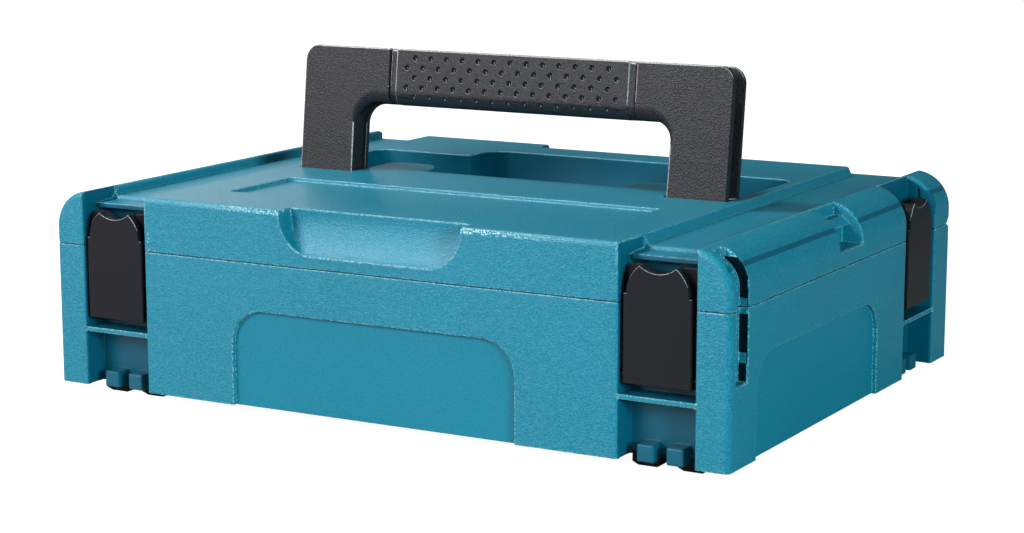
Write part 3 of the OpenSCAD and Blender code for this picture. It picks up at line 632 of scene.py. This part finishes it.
def edge_glint():
    """Mask of a painted highlight on the grain specks: few on flat faces, most where a rounding turns the
    normal.
    """
    name = "edge_glint"
    if name in bpy.data.node_groups:
        return bpy.data.node_groups[name]
    group, inlet, outlet = new_group(name,
        [("Rounded", "NodeSocketVector", None), ("Size", "NodeSocketFloat", 0.0006)],
        [("Mask", "NodeSocketFloat")])
    turn = group.nodes.new("ShaderNodeVectorMath")
    turn.operation = "DOT_PRODUCT"
    plain = group.nodes.new("ShaderNodeNewGeometry")
    group.links.new(inlet.outputs["Rounded"], turn.inputs[0])
    group.links.new(plain.outputs["True Normal"], turn.inputs[1])
    bent = ranged(group, turn.outputs["Value"], (0.995, 0.93), (0.04, 1.0))
    place = on_object(group)
    specks = noise(group, place, maths(group, "DIVIDE", 1.0, inlet.outputs["Size"]), detail=0.0)
    sharp = maths(group, "MULTIPLY", bent, ranged(group, specks, (0.46, 0.62)))
    clusters = noise(group, place, maths(group, "DIVIDE", 0.4, inlet.outputs["Size"]), detail=1.0)
    # A few painted highlight flecks on flat faces as well.
    flecks = ranged(group, clusters, (0.55, 0.70), (0.0, 0.06))
    group.links.new(maths(group, "MAXIMUM", sharp, flecks), outlet.inputs["Mask"])
    return group


# ---- Materials ----

def tint(tree, colour, tone, crumbs, swing, crumb_share):
    """The colour, a little lighter and darker with the slow tone and the grain."""
    slow = ranged(tree, tone, TONES, (1.0 - swing, 1.0 + swing))
    speck = ranged(tree, crumbs, CRUMBS, (1.0 - crumb_share, 1.0 + crumb_share))
    mix = tree.nodes.new("ShaderNodeVectorMath")
    mix.operation = "SCALE"
    mix.inputs[0].default_value = colour
    tree.links.new(maths(tree, "MULTIPLY", slow, speck), mix.inputs["Scale"])
    return mix.outputs["Vector"]


def with_painted_glint(tree, base, rounded, grain, painted_glint):
    """The base colour with a painted highlight of paler grains along the edges."""
    mask = tree.nodes.new("ShaderNodeGroup")
    mask.node_tree = edge_glint()
    mask.inputs["Size"].default_value = grain
    tree.links.new(rounded, mask.inputs["Rounded"])
    pale = tree.nodes.new("ShaderNodeMix")
    pale.data_type = "RGBA"
    tree.links.new(mask.outputs["Mask"], pale.inputs["Factor"])
    tree.links.new(base, pale.inputs["A"])
    pale.inputs["B"].default_value = (*painted_glint, 1.0)
    return pale.outputs["Result"]


def plastic(name, colour, grain, depth, roughness, crumb, swing, crumb_share,
            specular=0.5, soft_edge=0.0, painted_glint=None):
    """Moulded plastic: grain in its bump, colour and roughness, all on object coordinates, with a painted
    highlight along its edges where a glint colour is given.
    """
    if name in bpy.data.materials:
        return bpy.data.materials[name]
    material = bpy.data.materials.new(name)
    material.use_nodes = True
    material.diffuse_color = (*colour, 1.0)
    tree = material.node_tree
    shader = tree.nodes["Principled BSDF"]
    texture = tree.nodes.new("ShaderNodeGroup")
    texture.node_tree = spark_grain()
    texture.inputs["Size"].default_value = grain
    texture.inputs["Crumb"].default_value = crumb
    base = tint(tree, colour, texture.outputs["Tone"], texture.outputs["Height"], swing, crumb_share)
    gloss = ranged(tree, texture.outputs["Tone"], TONES, (roughness - GLOSSIER, roughness + DULLER))
    bump = tree.nodes.new("ShaderNodeBump")
    bump.inputs["Strength"].default_value = 1.0
    bump.inputs["Distance"].default_value = depth
    tree.links.new(texture.outputs["Height"], bump.inputs["Height"])
    if soft_edge:
        rounded = tree.nodes.new("ShaderNodeBevel")
        rounded.samples = 4
        rounded.inputs["Radius"].default_value = soft_edge
        tree.links.new(rounded.outputs["Normal"], bump.inputs["Normal"])
        if painted_glint:
            base = with_painted_glint(tree, base, rounded.outputs["Normal"], grain, painted_glint)
    tree.links.new(base, shader.inputs["Base Color"])
    tree.links.new(gloss, shader.inputs["Roughness"])
    tree.links.new(bump.outputs["Normal"], shader.inputs["Normal"])
    shader.inputs["Specular IOR Level"].default_value = specular
    return material


def finish():
    return bpy.context.scene.case_finish


def teal_grained():
    # Grained teal, with a painted highlight of pale grains along its rounded edges.
    return plastic("case_grained", tuple(finish().teal), finish().grain, depth=0.00030, roughness=0.36,
        crumb=0.6, swing=0.05, crumb_share=0.10, specular=0.4,
        soft_edge=finish().soft_edge, painted_glint=tuple(finish().painted_glint))


def teal_fine():
    return plastic("case_fine_grained", tuple(finish().teal), finish().grain, depth=0.00008, roughness=0.40,
        crumb=0.5, swing=0.04, crumb_share=0.12, specular=0.4, soft_edge=finish().soft_edge)


def teal_satin():
    return plastic("case_satin", tuple(finish().satin), SATIN_GRAIN, depth=0.00002, roughness=0.34,
        crumb=0.3, swing=0.04, crumb_share=0.02, specular=0.4, soft_edge=finish().soft_edge)


def teal_painted_shade():
    # Painted shade for the windows of the post channels: near black, dull and hardly glossy.
    return plastic("case_painted_window_shade", tuple(finish().window), SATIN_GRAIN, depth=0.00002, roughness=0.5,
        crumb=0.3, swing=0.04, crumb_share=0.02, specular=0.1)


def handle_black():
    return plastic("handle_grained", tuple(finish().handle), finish().handle_grain, depth=0.00022,
        roughness=0.38, crumb=0.6, swing=0.06, crumb_share=0.60, specular=0.3)


def black_painted_highlight():
    # Painted highlight: pale grey for the rounded edges of handle and latches that face the lights.
    return plastic("painted_edge_highlight", tuple(finish().rim), finish().handle_grain, depth=0.00010,
        roughness=0.40, crumb=0.6, swing=0.1, crumb_share=0.5, specular=0.3)


def handle_smooth():
    return plastic("handle_smooth", tuple(finish().latch), BLACK_GRAIN, depth=0.00002, roughness=0.22,
        crumb=0.4, swing=0.05, crumb_share=0.05)


def latch_black():
    return plastic("latch_satin", tuple(finish().latch), BLACK_GRAIN, depth=0.00003, roughness=0.30,
        crumb=0.4, swing=0.05, crumb_share=0.05, specular=0.2, soft_edge=finish().soft_edge / 2)


def foot_black():
    return plastic("foot_rubber", tuple(finish().foot), FOOT_GRAIN, depth=0.00005, roughness=0.55,
        crumb=0.5, swing=0.1, crumb_share=0.08, soft_edge=finish().soft_edge)


def pin_steel():
    material = plastic("pin_steel", STEEL, STEEL_GRAIN, depth=0.00001, roughness=0.28,
        crumb=0.4, swing=0.05, crumb_share=0.03)
    material.node_tree.nodes["Principled BSDF"].inputs["Metallic"].default_value = 1.0
    return material


def floor_white(glow):
    """Pale floor that looks brighter to the camera than it is lit, and that darkens to the right."""
    material = bpy.data.materials.new("pale_floor")
    material.use_nodes = True
    tree = material.node_tree
    shader = tree.nodes["Principled BSDF"]
    axes = tree.nodes.new("ShaderNodeSeparateXYZ")
    tree.links.new(on_object(tree), axes.inputs["Vector"])
    tree.links.new(ranged(tree, axes.outputs["X"], FLOOR_FADE, FLOOR_SHADES), shader.inputs["Base Color"])
    shader.inputs["Roughness"].default_value = 0.8
    shader.inputs["Emission Color"].default_value = (1, 1, 1, 1)
    ray = tree.nodes.new("ShaderNodeLightPath")
    shine = maths(tree, "MULTIPLY", ray.outputs["Is Camera Ray"], glow)
    tree.links.new(shine, shader.inputs["Emission Strength"])
    return material


def light_world(tree, fill):
    """White behind the case for the camera, and a dimmer room for everything else."""
    back = tree.nodes["Background"]
    back.inputs["Color"].default_value = (1, 1, 1, 1)
    ray = tree.nodes.new("ShaderNodeLightPath")
    strength = ranged(tree, ray.outputs["Is Camera Ray"], (0.0, 1.0), (fill, 1.0))
    tree.links.new(strength, back.inputs["Strength"])


# ---- Which faces are smooth, and how wide each edge is rounded ----

def paint_teal(piece, finish_of):
    """Gives each face the finish, counted in the order below, that finish_of(middle, normal) names."""
    # The last of these is the painted shade of the channel windows.
    for material in (teal_grained(), teal_satin(), teal_fine(), teal_painted_shade()):
        piece.data.materials.append(material)
    for face in piece.data.polygons:
        face.material_index = finish_of(face.center / MM, face.normal)


def paint_black(piece, finish_of):
    """Gives each face of a black piece the finish that finish_of(face) names."""
    for face in piece.data.polygons:
        face.material_index = finish_of(face)


def within(value, low, high):
    return low <= value <= high


def at_level(value, level, reach=0.2):
    return abs(value - level) < reach


def near_axis(first, second, at_first, at_second, reach):
    """Whether a place lies within reach of an axis that is seen end on."""
    return math.hypot(first - at_first, second - at_second) < reach


def near_hinge(at):
    return near_axis(at.y, at.z, HINGE_Y, SEAM_Z, HINGE_REACH) and abs(abs(at.x) - HINGE_X) < HINGE_HALF


def into_bay(at):
    """How far in from the outer face a place in one of the latch bays is, or None outside them."""
    if abs(abs(at.x) - BAY_X) < FRONT_BAY_HALF and at.y < -HALF_D + BAY_DEPTH:
        return at.y + HALF_D
    if abs(at.y - BAY_Y) < SIDE_BAY_HALF and abs(at.x) > HALF_W - BAY_DEPTH:
        return HALF_W - abs(at.x)
    return None


def in_post_channel(at):
    """In the channel in the rim over one of the front posts."""
    return abs(at.x) > HALF_W - CHANNEL_DEPTH and within(at.y, *POST_CHANNEL_Y) and at.z > POST_CHANNEL_FOOT


def in_mid_channel(at):
    """In the channel half way along one of the side rims."""
    return abs(at.x) > HALF_W - CHANNEL_DEPTH and abs(at.y) < MID_CHANNEL_HALF and at.z > MID_CHANNEL_FOOT


def on_channel_back(at, normal):
    """On the wall at the back of a post channel, which is all that shows of its windows from the front, and
    where their shade is painted.
    """
    if abs(at.x) > HALF_W - CHANNEL_SKIN or abs(normal.y) < ALONG:
        return False
    return in_post_channel(at) and at_level(at.y, CHANNEL_BACK, 0.6)


def part_channel_back(piece, *levels):
    """Cuts the back wall of the post channels at the ends of the windows, where the painted shade starts and
    stops.
    """
    with bmesh_of(piece.data) as work:
        for level in levels:
            faces = [face for face in work.faces
                     if on_channel_back(face.calc_center_median() / MM, face.normal)]
            slice_faces(work, faces, (0, 0, level * MM), (0, 0, 1))


def on_outer_side(at):
    """On the side's outer face or on the round that leads from it to the top of the rim."""
    if at.z > RIM_Z:
        radius = math.hypot(abs(at.x) - RIM_X, at.z - RIM_Z)
        return abs(at.x) > RIM_X and radius > RIM_W - SKIN
    return abs(at.x) > HALF_W - SKIN


def channel_width(at):
    return bpy.context.scene.case_rounding.channel if on_outer_side(at) else CHANNEL_EDGE


class Lid:
    """Places on the lid, in millimetres."""
    # Heights of the channel windows, over which the channel's back wall is painted in shade.
    window = SEAM_Z + 4.0, DECK_Z - 5.5
    trough_half, trough_front, trough_back = 134.5, -13.5, 76.6
    notch_half, notch_back = 71.6, 102.6
    scoop_half, scoop_back, scoop_foot = 55.0, -HALF_D + 12.5, DECK_Z - 23.5
    # What lies further in than these, from the sides, the top and the mouth of a bay, is inside.
    wall, roof, bay_wall = 2.6, 2.4, 18.2
    # In a bay: the height below which faces are satin, the one below which edges count as the bay's,
    # and the depth from which these are hidden.
    lip, lip_edge, bay_mouth = DECK_Z - 7.5, DECK_Z - 6.0, 8.5
    front_strip = -HALF_D + 30.0
    deck_edge = DECK_X - 0.5, DECK_X + 3.5
    # What isn't rounded: the bores of the handle's pins, and where the scoop crosses the front edge.
    pin_reach, crossing = 4.0, 3.2

    @staticmethod
    def in_trough(at):
        back = Lid.notch_back if abs(at.x) < Lid.notch_half else Lid.trough_back
        return (abs(at.x) < Lid.trough_half and within(at.y, Lid.trough_front, back)
                and at.z > TROUGH_Z - 0.5)

    @staticmethod
    def in_scoop(at):
        return abs(at.x) < Lid.scoop_half and at.y < Lid.scoop_back and at.z > Lid.scoop_foot

    @staticmethod
    def is_inside(at):
        if Lid.in_trough(at) or Lid.in_scoop(at) or in_post_channel(at) or in_mid_channel(at):
            return False
        depth = into_bay(at)
        if depth is not None and depth < Lid.bay_wall:
            return False
        under_deck = abs(at.x) < DECK_X - Lid.wall and at.z < DECK_Z - Lid.roof
        if not under_deck and at.z >= STRIP_Z - Lid.roof:
            return False
        return abs(at.x) < HALF_W - Lid.wall and abs(at.y) < HALF_D - Lid.wall

    @staticmethod
    def finish_of(at, normal):
        # Painted shade on the channel's back wall behind the windows.
        if on_channel_back(at, normal) and within(at.z, *Lid.window):
            return PAINTED_SHADE
        if at_level(at.z, STRIP_Z) and normal.z > ALONG:
            return GRAINED
        if Lid.is_inside(at) or (Lid.in_trough(at) and at.z < DECK_Z - 0.9):
            return SATIN
        depth = into_bay(at)
        return SATIN if depth is not None and depth > BAY_SKIN and at.z < Lid.lip else GRAINED

    @staticmethod
    def width_of(at, edge):
        size = bpy.context.scene.case_rounding
        if near_hinge(at) or near_axis(at.y, at.z, HANDLE_Y, HANDLE_Z, Lid.pin_reach):
            return 0.0
        if Lid.in_trough(at):
            if at.z > DECK_Z - 0.3:
                return TROUGH_RIM
            return size.trough_foot if at.z < TROUGH_Z + 0.3 else TROUGH_CORNER
        if Lid.in_scoop(at):
            over_front_edge = at.z > DECK_Z - Lid.crossing and at.y < -HALF_D + Lid.crossing
            return 0.0 if over_front_edge else size.scoop
        if at_level(at.z, SEAM_Z):
            return size.seam
        if in_post_channel(at) or in_mid_channel(at):
            return channel_width(at)
        depth = into_bay(at)
        if depth is not None and at.z < Lid.lip_edge:
            return HIDDEN_EDGE if depth > Lid.bay_mouth else size.edge
        if Lid.is_inside(at):
            return 0.0
        along = abs((edge.verts[1].co - edge.verts[0].co).normalized().y)
        if within(abs(at.x), *Lid.deck_edge) and along > ALONG:
            return size.deck
        if at.y < Lid.front_strip and at.z > STRIP_Z - 3.0 and abs(at.x) < RIM_X + 2.0:
            return size.deck
        return size.edge


class Tray:
    """Places on the body, in millimetres."""
    # Heights of the channel windows, over which the channel's back wall is painted in shade.
    windows = (SEAM_Z - 22.0, SEAM_Z - 3.5), (BASE_Z + 40.5, SEAM_Z - 27.0)
    # What lies further in than these, from the sides, the underside and the mouth of a bay, is inside.
    wall, floor, bay_wall = 2.9, 1.8, 15.0
    # How deep the sunk panels lie, and how far their fine grain reaches.
    sunk, front_panel_half, side_panel_back = (2.0, 2.8), 85.0, 45.0
    slot_half, slot_foot = 2.3, AXLE_Z - 3.0
    lug_back, lug_top = 14.0, BASE_Z + 9.0
    bay_foot = BASE_Z - 2.0
    outer_wall = 3.0

    @staticmethod
    def is_inside(at):
        depth = into_bay(at)
        if in_post_channel(at) or (depth is not None and depth < Tray.bay_wall):
            return False
        return (abs(at.x) < HALF_W - Tray.wall and abs(at.y) < HALF_D - Tray.wall
                and at.z > BASE_Z + Tray.floor)

    @staticmethod
    def finish_of(at, normal):
        # Painted shade on the channel's back wall behind the windows.
        if on_channel_back(at, normal) and any(within(at.z, *window) for window in Tray.windows):
            return PAINTED_SHADE
        depth = into_bay(at)
        if Tray.is_inside(at) or (depth is not None and depth > BAY_SKIN):
            return SATIN
        if abs(normal.y) > ALONG and abs(at.x) < Tray.front_panel_half:
            return FINE if within(HALF_D - abs(at.y), *Tray.sunk) else GRAINED
        if abs(normal.x) > ALONG and at.y < Tray.side_panel_back:
            return FINE if within(HALF_W - abs(at.x), *Tray.sunk) else GRAINED
        return GRAINED

    @staticmethod
    def width_of(at, edge):
        size = bpy.context.scene.case_rounding
        depth = into_bay(at)
        if near_hinge(at) or Tray.is_inside(at):
            return 0.0
        if at_level(at.z, SEAM_Z - SEAM_GAP):
            return size.seam
        if in_post_channel(at):
            return channel_width(at)
        if depth is not None and at.z > Tray.bay_foot:
            if at.z > Tray.slot_foot and within(depth, AXLE_IN - Tray.slot_half, AXLE_IN + Tray.slot_half):
                return SLOT_EDGE
            if at.z < Tray.lug_top and within(depth, AXLE_IN - 0.3, Tray.lug_back):
                return size.lug
            return HIDDEN_EDGE
        under = abs(at.x) < HALF_W - Tray.outer_wall and abs(at.y) < HALF_D - Tray.outer_wall
        return FLOOR_EDGE if under and at.z < BASE_Z + Tray.floor else size.edge


class Lever:
    """Places on a latch, in millimetres."""
    pin_reach = 3.0
    plate = 1.0

    @staticmethod
    def depth_of(at):
        return at.y + HALF_D if at.y < 0 else HALF_W - abs(at.x)

    @staticmethod
    def width_of(at, edge):
        depth = Lever.depth_of(at)
        if near_axis(depth, at.z, AXLE_IN, AXLE_Z, Lever.pin_reach):
            return 0.0
        return bpy.context.scene.case_rounding.latch if depth < Lever.plate else HIDDEN_EDGE

    @staticmethod
    def finish_of(face):
        """Painted highlight on the upper edges of the front plate."""
        at = face.center / MM
        lit = face.material_index == PAINTED_HIGHLIGHT and face.normal.z > 0.3
        return PAINTED_HIGHLIGHT if lit and Lever.depth_of(at) < 0.8 and at.z > SHOULDER_Z else BLACK


class Bow:
    """Places on the raised handle, in millimetres along its axis, front to back and up the legs.

    front, top and under are the faces of the bar, inner is the inner face of a leg, corner rounds the
    two into one another, finger rounds the bar's lower front edge, and grip is half the plate's length.
    """
    own = Matrix.Rotation(HANDLE_LEAN, 4, "X") @ Matrix.Translation((0.0, -HANDLE_Y, -HANDLE_Z))
    front = -8.5
    top = 77.8
    under = 46.3
    inner = 97.9
    corner = 11.0
    finger = 8.0
    grip = 75.7
    pin_reach = 9.0
    leg_foot = 6.0
    # How far past the finger rounding an edge still belongs to it.
    margin = 1.5
    # Half the width of the step beside a band, and how far the cutter keeps off the bar's own rounding.
    slope, play = 0.2, 0.05
    # How far a face is turned to the light where it gets the painted highlight: a rounded edge, and the front
    # of a leg's.
    lit, leg_front, leg_turn = 0.25, 0.75, 0.15

    @staticmethod
    def width_of(at, edge):
        """Nothing where the finger rounding runs, and more along the upper front edge."""
        size = bpy.context.scene.case_handle
        place = Bow.own @ at
        inner_edge = (place.y < 0 and abs(place.x) < Bow.inner + Bow.margin
                      and place.z < Bow.under + Bow.finger + Bow.margin)
        if inner_edge or near_axis(place.y, place.z, 0, 0, Bow.pin_reach):
            return 0.0
        return size.edge * UPPER_EDGE if place.z > Bow.top - 0.5 and place.y < 0 else size.edge

    @staticmethod
    def finish_of(face):
        """Painted highlight where a rounded edge faces up or to the left, smooth on top of the bar."""
        normal = Bow.own.to_3x3() @ face.normal
        place = Bow.own @ (face.center / MM)
        # Painted highlight on the front edge of each leg's inner face.
        if place.z < Bow.under - Bow.corner - 1.0 and at_level(abs(place.x), Bow.inner, 2.0):
            return PAINTED_HIGHLIGHT if normal.y < -Bow.leg_front and abs(normal.x) > Bow.leg_turn else BLACK
        if face.material_index == PAINTED_HIGHLIGHT:
            faces_left = normal.x < -Bow.lit and normal.y < -Bow.lit
            return PAINTED_HIGHLIGHT if normal.z > Bow.lit or faces_left else BLACK
        return SMOOTH if normal.z > 0.95 else BLACK

    @staticmethod
    def grip_width_of(at, edge):
        size = bpy.context.scene.case_handle
        if edge.calc_length() < DIMPLE_SIDE:
            return size.dimple
        return size.edge * (UPPER_EDGE if (Bow.own @ at).z > Bow.top - 1.0 else 0.5)

    @staticmethod
    def grip_finish_of(face):
        """Smooth in the dimples too, and a painted highlight where the bands at the ends step down."""
        place = Bow.own @ (face.center / MM)
        step = Bow.grip - bpy.context.scene.case_handle.band / MM
        lowest = Bow.under + Bow.finger
        if within(abs(place.x), step - 0.25, step + 0.25) and place.z > lowest:
            return PAINTED_HIGHLIGHT
        in_dimple = within(place.y, Bow.front + 0.1, Bow.front + 1.3) and abs(place.x) < step - 0.5
        if in_dimple and within(place.z, lowest - 6.0, Bow.top - Bow.margin):
            return SMOOTH
        return Bow.finish_of(face)


# ---- Shapes that are cut into the handle ----

def finger_ring(x, z, out_x, out_z, radius, steps=8):
    """Outline of what the finger rounding takes off across one place on the inner edge."""
    profile = [(-1.0, Bow.front - 1.0), (radius, Bow.front - 1.0)]
    for i in range(steps + 1):
        turn = math.pi / 2 * i / steps
        profile.append((radius - radius * math.sin(turn), Bow.front + radius - radius * math.cos(turn)))
    profile.append((-1.0, Bow.front + radius))
    back = Bow.own.inverted()
    return [back @ Vector((x + out_x * depth, y, z + out_z * depth)) * MM for depth, y in profile]


def finger_rings(side, steps=10):
    """Outlines round one inner corner and down its leg, where the rounding fades."""
    least = bpy.context.scene.case_handle.leg_round / MM
    corner_x, corner_z = Bow.inner - Bow.corner, Bow.under - Bow.corner
    rings = [finger_ring(side * (corner_x - 1.0), Bow.under, 0.0, 1.0, Bow.finger - 2 * Bow.play)]
    for i in range(steps + 1):
        share = i / steps
        turn = math.pi / 2 * (1 - share)
        out_x, out_z = side * math.cos(turn), math.sin(turn)
        radius = Bow.finger - Bow.play + (least - Bow.finger) * share
        rings.append(finger_ring(side * corner_x + out_x * Bow.corner, corner_z + out_z * Bow.corner,
            out_x, out_z, radius))
    rings.append(finger_ring(side * Bow.inner, Bow.leg_foot, side, 0.0, least * 0.6))
    return rings


def finger_cutter():
    """The finger rounding of the bar carried on round both inner corners, as a solid to cut away."""
    verts, faces = [], []
    for side in (-1, 1):
        rings = finger_rings(side)
        start, count = len(verts), len(rings[0])
        verts += [vert for ring in rings for vert in ring]
        faces += [[start + i for i in range(count)], [len(verts) - 1 - i for i in range(count)]]
        for ring in range(len(rings) - 1):
            for i in range(count):
                near, far = start + ring * count + i, start + ring * count + (i + 1) % count
                faces.append([far, near, near + count, far + count])
    mesh = bpy.data.meshes.new("finger_cutter")
    mesh.from_pydata(verts, [], faces)
    with bmesh_of(mesh) as work:
        bmesh.ops.recalc_face_normals(work, faces=work.faces)
    cutter = bpy.data.objects.new("finger_cutter", mesh)
    bpy.context.scene.collection.objects.link(cutter)
    return cutter


def cut_away(piece, cutter):
    """Takes the cutter out of the piece and deletes it."""
    pick(piece)
    cut = piece.modifiers.new("Cut", "BOOLEAN")
    cut.operation = "DIFFERENCE"
    cut.solver = "EXACT"
    cut.object = cutter
    bpy.ops.object.modifier_apply(modifier=cut.name)
    bpy.data.meshes.remove(cutter.data)


def lower_end_bands(piece):
    """Draws the grip's front, top and underside in a little between the grip and the shells."""
    size = bpy.context.scene.case_handle
    step, depth = Bow.grip - size.band / MM, size.band_depth / MM
    least = Bow.finger - depth
    back = Bow.own.inverted()
    hub = Vector((Bow.front + Bow.finger, Bow.under + Bow.finger))
    with bmesh_of(piece.data) as work:
        for place in (-step - Bow.slope, -step + Bow.slope, step - Bow.slope, step + Bow.slope):
            slice_faces(work, work.faces, (place * MM, 0, 0), (1, 0, 0))
        for vert in work.verts:
            at = Bow.own @ (vert.co / MM)
            if abs(at.x) <= step:
                continue
            spoke = Vector((at.y, at.z)) - hub
            if spoke.x < 0 and spoke.y < 0:
                if spoke.length > least:
                    at.y, at.z = hub + spoke.normalized() * least
            else:
                at.y = max(at.y, Bow.front + depth)
                at.z = min(max(at.z, Bow.under + depth), Bow.top - depth)
            vert.co = back @ at * MM


# ---- Pieces ----

class CASE_OT_body(bpy.types.Operator):
    """Round the moulded edges of the tray body and give it its plastics"""
    bl_idname = "case.body"
    bl_label = "Body"

    def execute(self, context):
        size = context.scene.case_rounding
        piece = worked_copy("body_shell", "body_moulding")
        for vert in piece.data.vertices:
            if at_level(vert.co.z / MM, SEAM_Z, 0.01):
                vert.co.z -= SEAM_GAP * MM
        round_edges(piece, Tray.width_of, size.segments)
        # Cut where the painted shade of the windows starts and stops.
        part_channel_back(piece, *Tray.windows[0], *Tray.windows[1])
        paint_teal(piece, Tray.finish_of)
        smooth(piece)
        settle(piece, "case", "body_shell")
        return {"FINISHED"}


class CASE_OT_lid(bpy.types.Operator):
    """Round the moulded edges of the lid and give it its plastics"""
    bl_idname = "case.lid"
    bl_label = "Lid"

    def execute(self, context):
        size = context.scene.case_rounding
        piece = worked_copy("lid_shell", "lid_moulding")
        round_edges(piece, Lid.width_of, size.segments)
        # Cut where the painted shade of the windows starts and stops.
        part_channel_back(piece, *Lid.window)
        paint_teal(piece, Lid.finish_of)
        smooth(piece)
        settle(piece, "lid", "lid_shell")
        return {"FINISHED"}


class CASE_OT_handle(bpy.types.Operator):
    """Round the two handle shells and the dimpled grip"""
    bl_idname = "case.handle"
    bl_label = "Handle"

    def execute(self, context):
        steps = context.scene.case_rounding.segments
        for node, name in (("handle_front_shell", "handle_front"), ("handle_back_shell", "handle_back"),
                           ("handle_grip", "handle_grip_plate")):
            piece = worked_copy(node, name)
            for material in (handle_black(), black_painted_highlight(), handle_smooth()):
                piece.data.materials.append(material)
            if node == "handle_front_shell":
                cut_away(piece, finger_cutter())
            if node == "handle_grip":
                lower_end_bands(piece)
                round_edges(piece, Bow.grip_width_of, GRIP_STEPS, painted_highlight_slot=PAINTED_HIGHLIGHT)
                paint_black(piece, Bow.grip_finish_of)
            else:
                round_edges(piece, Bow.width_of, steps, painted_highlight_slot=PAINTED_HIGHLIGHT)
                paint_black(piece, Bow.finish_of)
            smooth(piece)
            settle(piece, "handle", node)
        return {"FINISHED"}


class CASE_OT_latches(bpy.types.Operator):
    """Round the four latches"""
    bl_idname = "case.latches"
    bl_label = "Latches"

    def execute(self, context):
        for place in ("front_left", "front_right", "rear_left", "rear_right"):
            node = "latch_" + place
            piece = worked_copy(node, node + "_lever")
            piece.data.materials.append(latch_black())
            piece.data.materials.append(black_painted_highlight())
            round_edges(piece, Lever.width_of, context.scene.case_rounding.segments, painted_highlight_slot=PAINTED_HIGHLIGHT)
            paint_black(piece, Lever.finish_of)
            smooth(piece)
            settle(piece, node, node)
        return {"FINISHED"}


class CASE_OT_small_parts(bpy.types.Operator):
    """Give the feet and the pins their finishes"""
    bl_idname = "case.small_parts"
    bl_label = "Feet and pins"

    def execute(self, context):
        for node in frame["nodes"]:
            if node.startswith("foot_"):
                dress(node, foot_black())
            elif "axle" in node:
                dress(node, latch_black())
            elif "pin" in node:
                dress(node, pin_steel())
        return {"FINISHED"}


# ---- Stage ----

def hang_light(name, place, width, power, mirrored=True):
    """A square soft light that faces the case, white where the case may mirror it and bluish otherwise."""
    light = bpy.data.lights.new(name, "AREA")
    light.shape = "SQUARE"
    light.size = width
    light.energy = power
    light.color = WHITE if mirrored else COOL
    lamp = bpy.data.objects.new(name, light)
    bpy.context.scene.collection.objects.link(lamp)
    lamp.location = place
    lamp.rotation_euler = (LIT_PLACE - Vector(place)).to_track_quat("-Z", "Y").to_euler()
    lamp.visible_glossy = mirrored
    lamp.visible_camera = False


def stand_camera(stage):
    """The camera of the photograph."""
    data = bpy.data.cameras.new("camera")
    data.lens = stage.lens
    data.sensor_width = 36.0
    data.shift_x, data.shift_y = stage.shift
    camera = bpy.data.objects.new("camera", data)
    bpy.context.scene.collection.objects.link(camera)
    camera.location = stage.camera
    camera.rotation_euler = math.radians(90) - stage.elevation, stage.roll, stage.azimuth
    bpy.context.scene.camera = camera


class CASE_OT_stage(bpy.types.Operator):
    """Lay the pale floor, hang the soft lights and set the camera"""
    bl_idname = "case.stage"
    bl_label = "Stage"

    def execute(self, context):
        stage = context.scene.case_stage
        scene = context.scene
        bpy.ops.object.select_all(action="DESELECT")
        bpy.ops.mesh.primitive_plane_add(size=FLOOR_SIZE, location=(0, FLOOR_BACK, 0))
        floor = context.active_object
        floor.name = "floor"
        bpy.ops.object.transform_apply(location=True, rotation=True, scale=True)
        floor.data.materials.append(floor_white(stage.floor_glow))
        floor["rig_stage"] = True
        scene.world = bpy.data.worlds.new("studio")
        scene.world.use_nodes = True
        light_world(scene.world.node_tree, stage.fill)
        hang_light("key", (-0.9, -1.7, 1.0), 1.0, stage.key)
        hang_light("side", (1.6, -0.9, 0.5), 0.5, stage.side, mirrored=False)
        hang_light("top", (-0.9, -0.3, 1.5), 0.35, stage.top)
        hang_light("sheen", (-1.7, 1.5, 0.75), 1.0, stage.sheen)
        stand_camera(stage)
        scene.view_settings.view_transform = "Standard"
        return {"FINISHED"}


# ---- Panel and registration ----

class CASE_PT_panel(bpy.types.Panel):
    """Builds the tool case piece by piece"""
    bl_idname = "CASE_PT_panel"
    bl_label = "Tool case"
    bl_space_type = "VIEW_3D"
    bl_region_type = "UI"
    bl_category = "Tool Case"

    def draw(self, context):
        for name, group in GROUPS:
            box = self.layout.box()
            box.label(text=name.removeprefix("case_").capitalize())
            for setting in group.__annotations__:
                box.prop(getattr(context.scene, name), setting)
        for operator in OPERATORS:
            self.layout.operator(operator.bl_idname)


OPERATORS = (CASE_OT_body, CASE_OT_lid, CASE_OT_handle, CASE_OT_latches, CASE_OT_small_parts, CASE_OT_stage)
GROUPS = (("case_finish", CaseFinish), ("case_rounding", CaseRounding),
          ("case_handle", CaseHandle), ("case_stage", CaseStage))


def register():
    for _, group in GROUPS:
        bpy.utils.register_class(group)
    for cls in (*OPERATORS, CASE_PT_panel):
        bpy.utils.register_class(cls)
    for name, group in GROUPS:
        setattr(bpy.types.Scene, name, PointerProperty(type=group))


def unregister():
    for name, _ in GROUPS:
        delattr(bpy.types.Scene, name)
    for cls in (CASE_PT_panel, *OPERATORS, *(group for _, group in GROUPS)):
        bpy.utils.unregister_class(cls)


def plain(box):
    """The two corners of a box as plain lists."""
    return [[round(value, 6) for value in corner] for corner in box]


def main():
    register()
    bpy.ops.case.body()
    bpy.ops.case.lid()
    bpy.ops.case.handle()
    bpy.ops.case.latches()
    bpy.ops.case.small_parts()
    bpy.ops.case.stage()
    {"cad": plain(CAD_BOX), "visual": plain(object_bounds())}


if __name__ == "__main__":
    main()
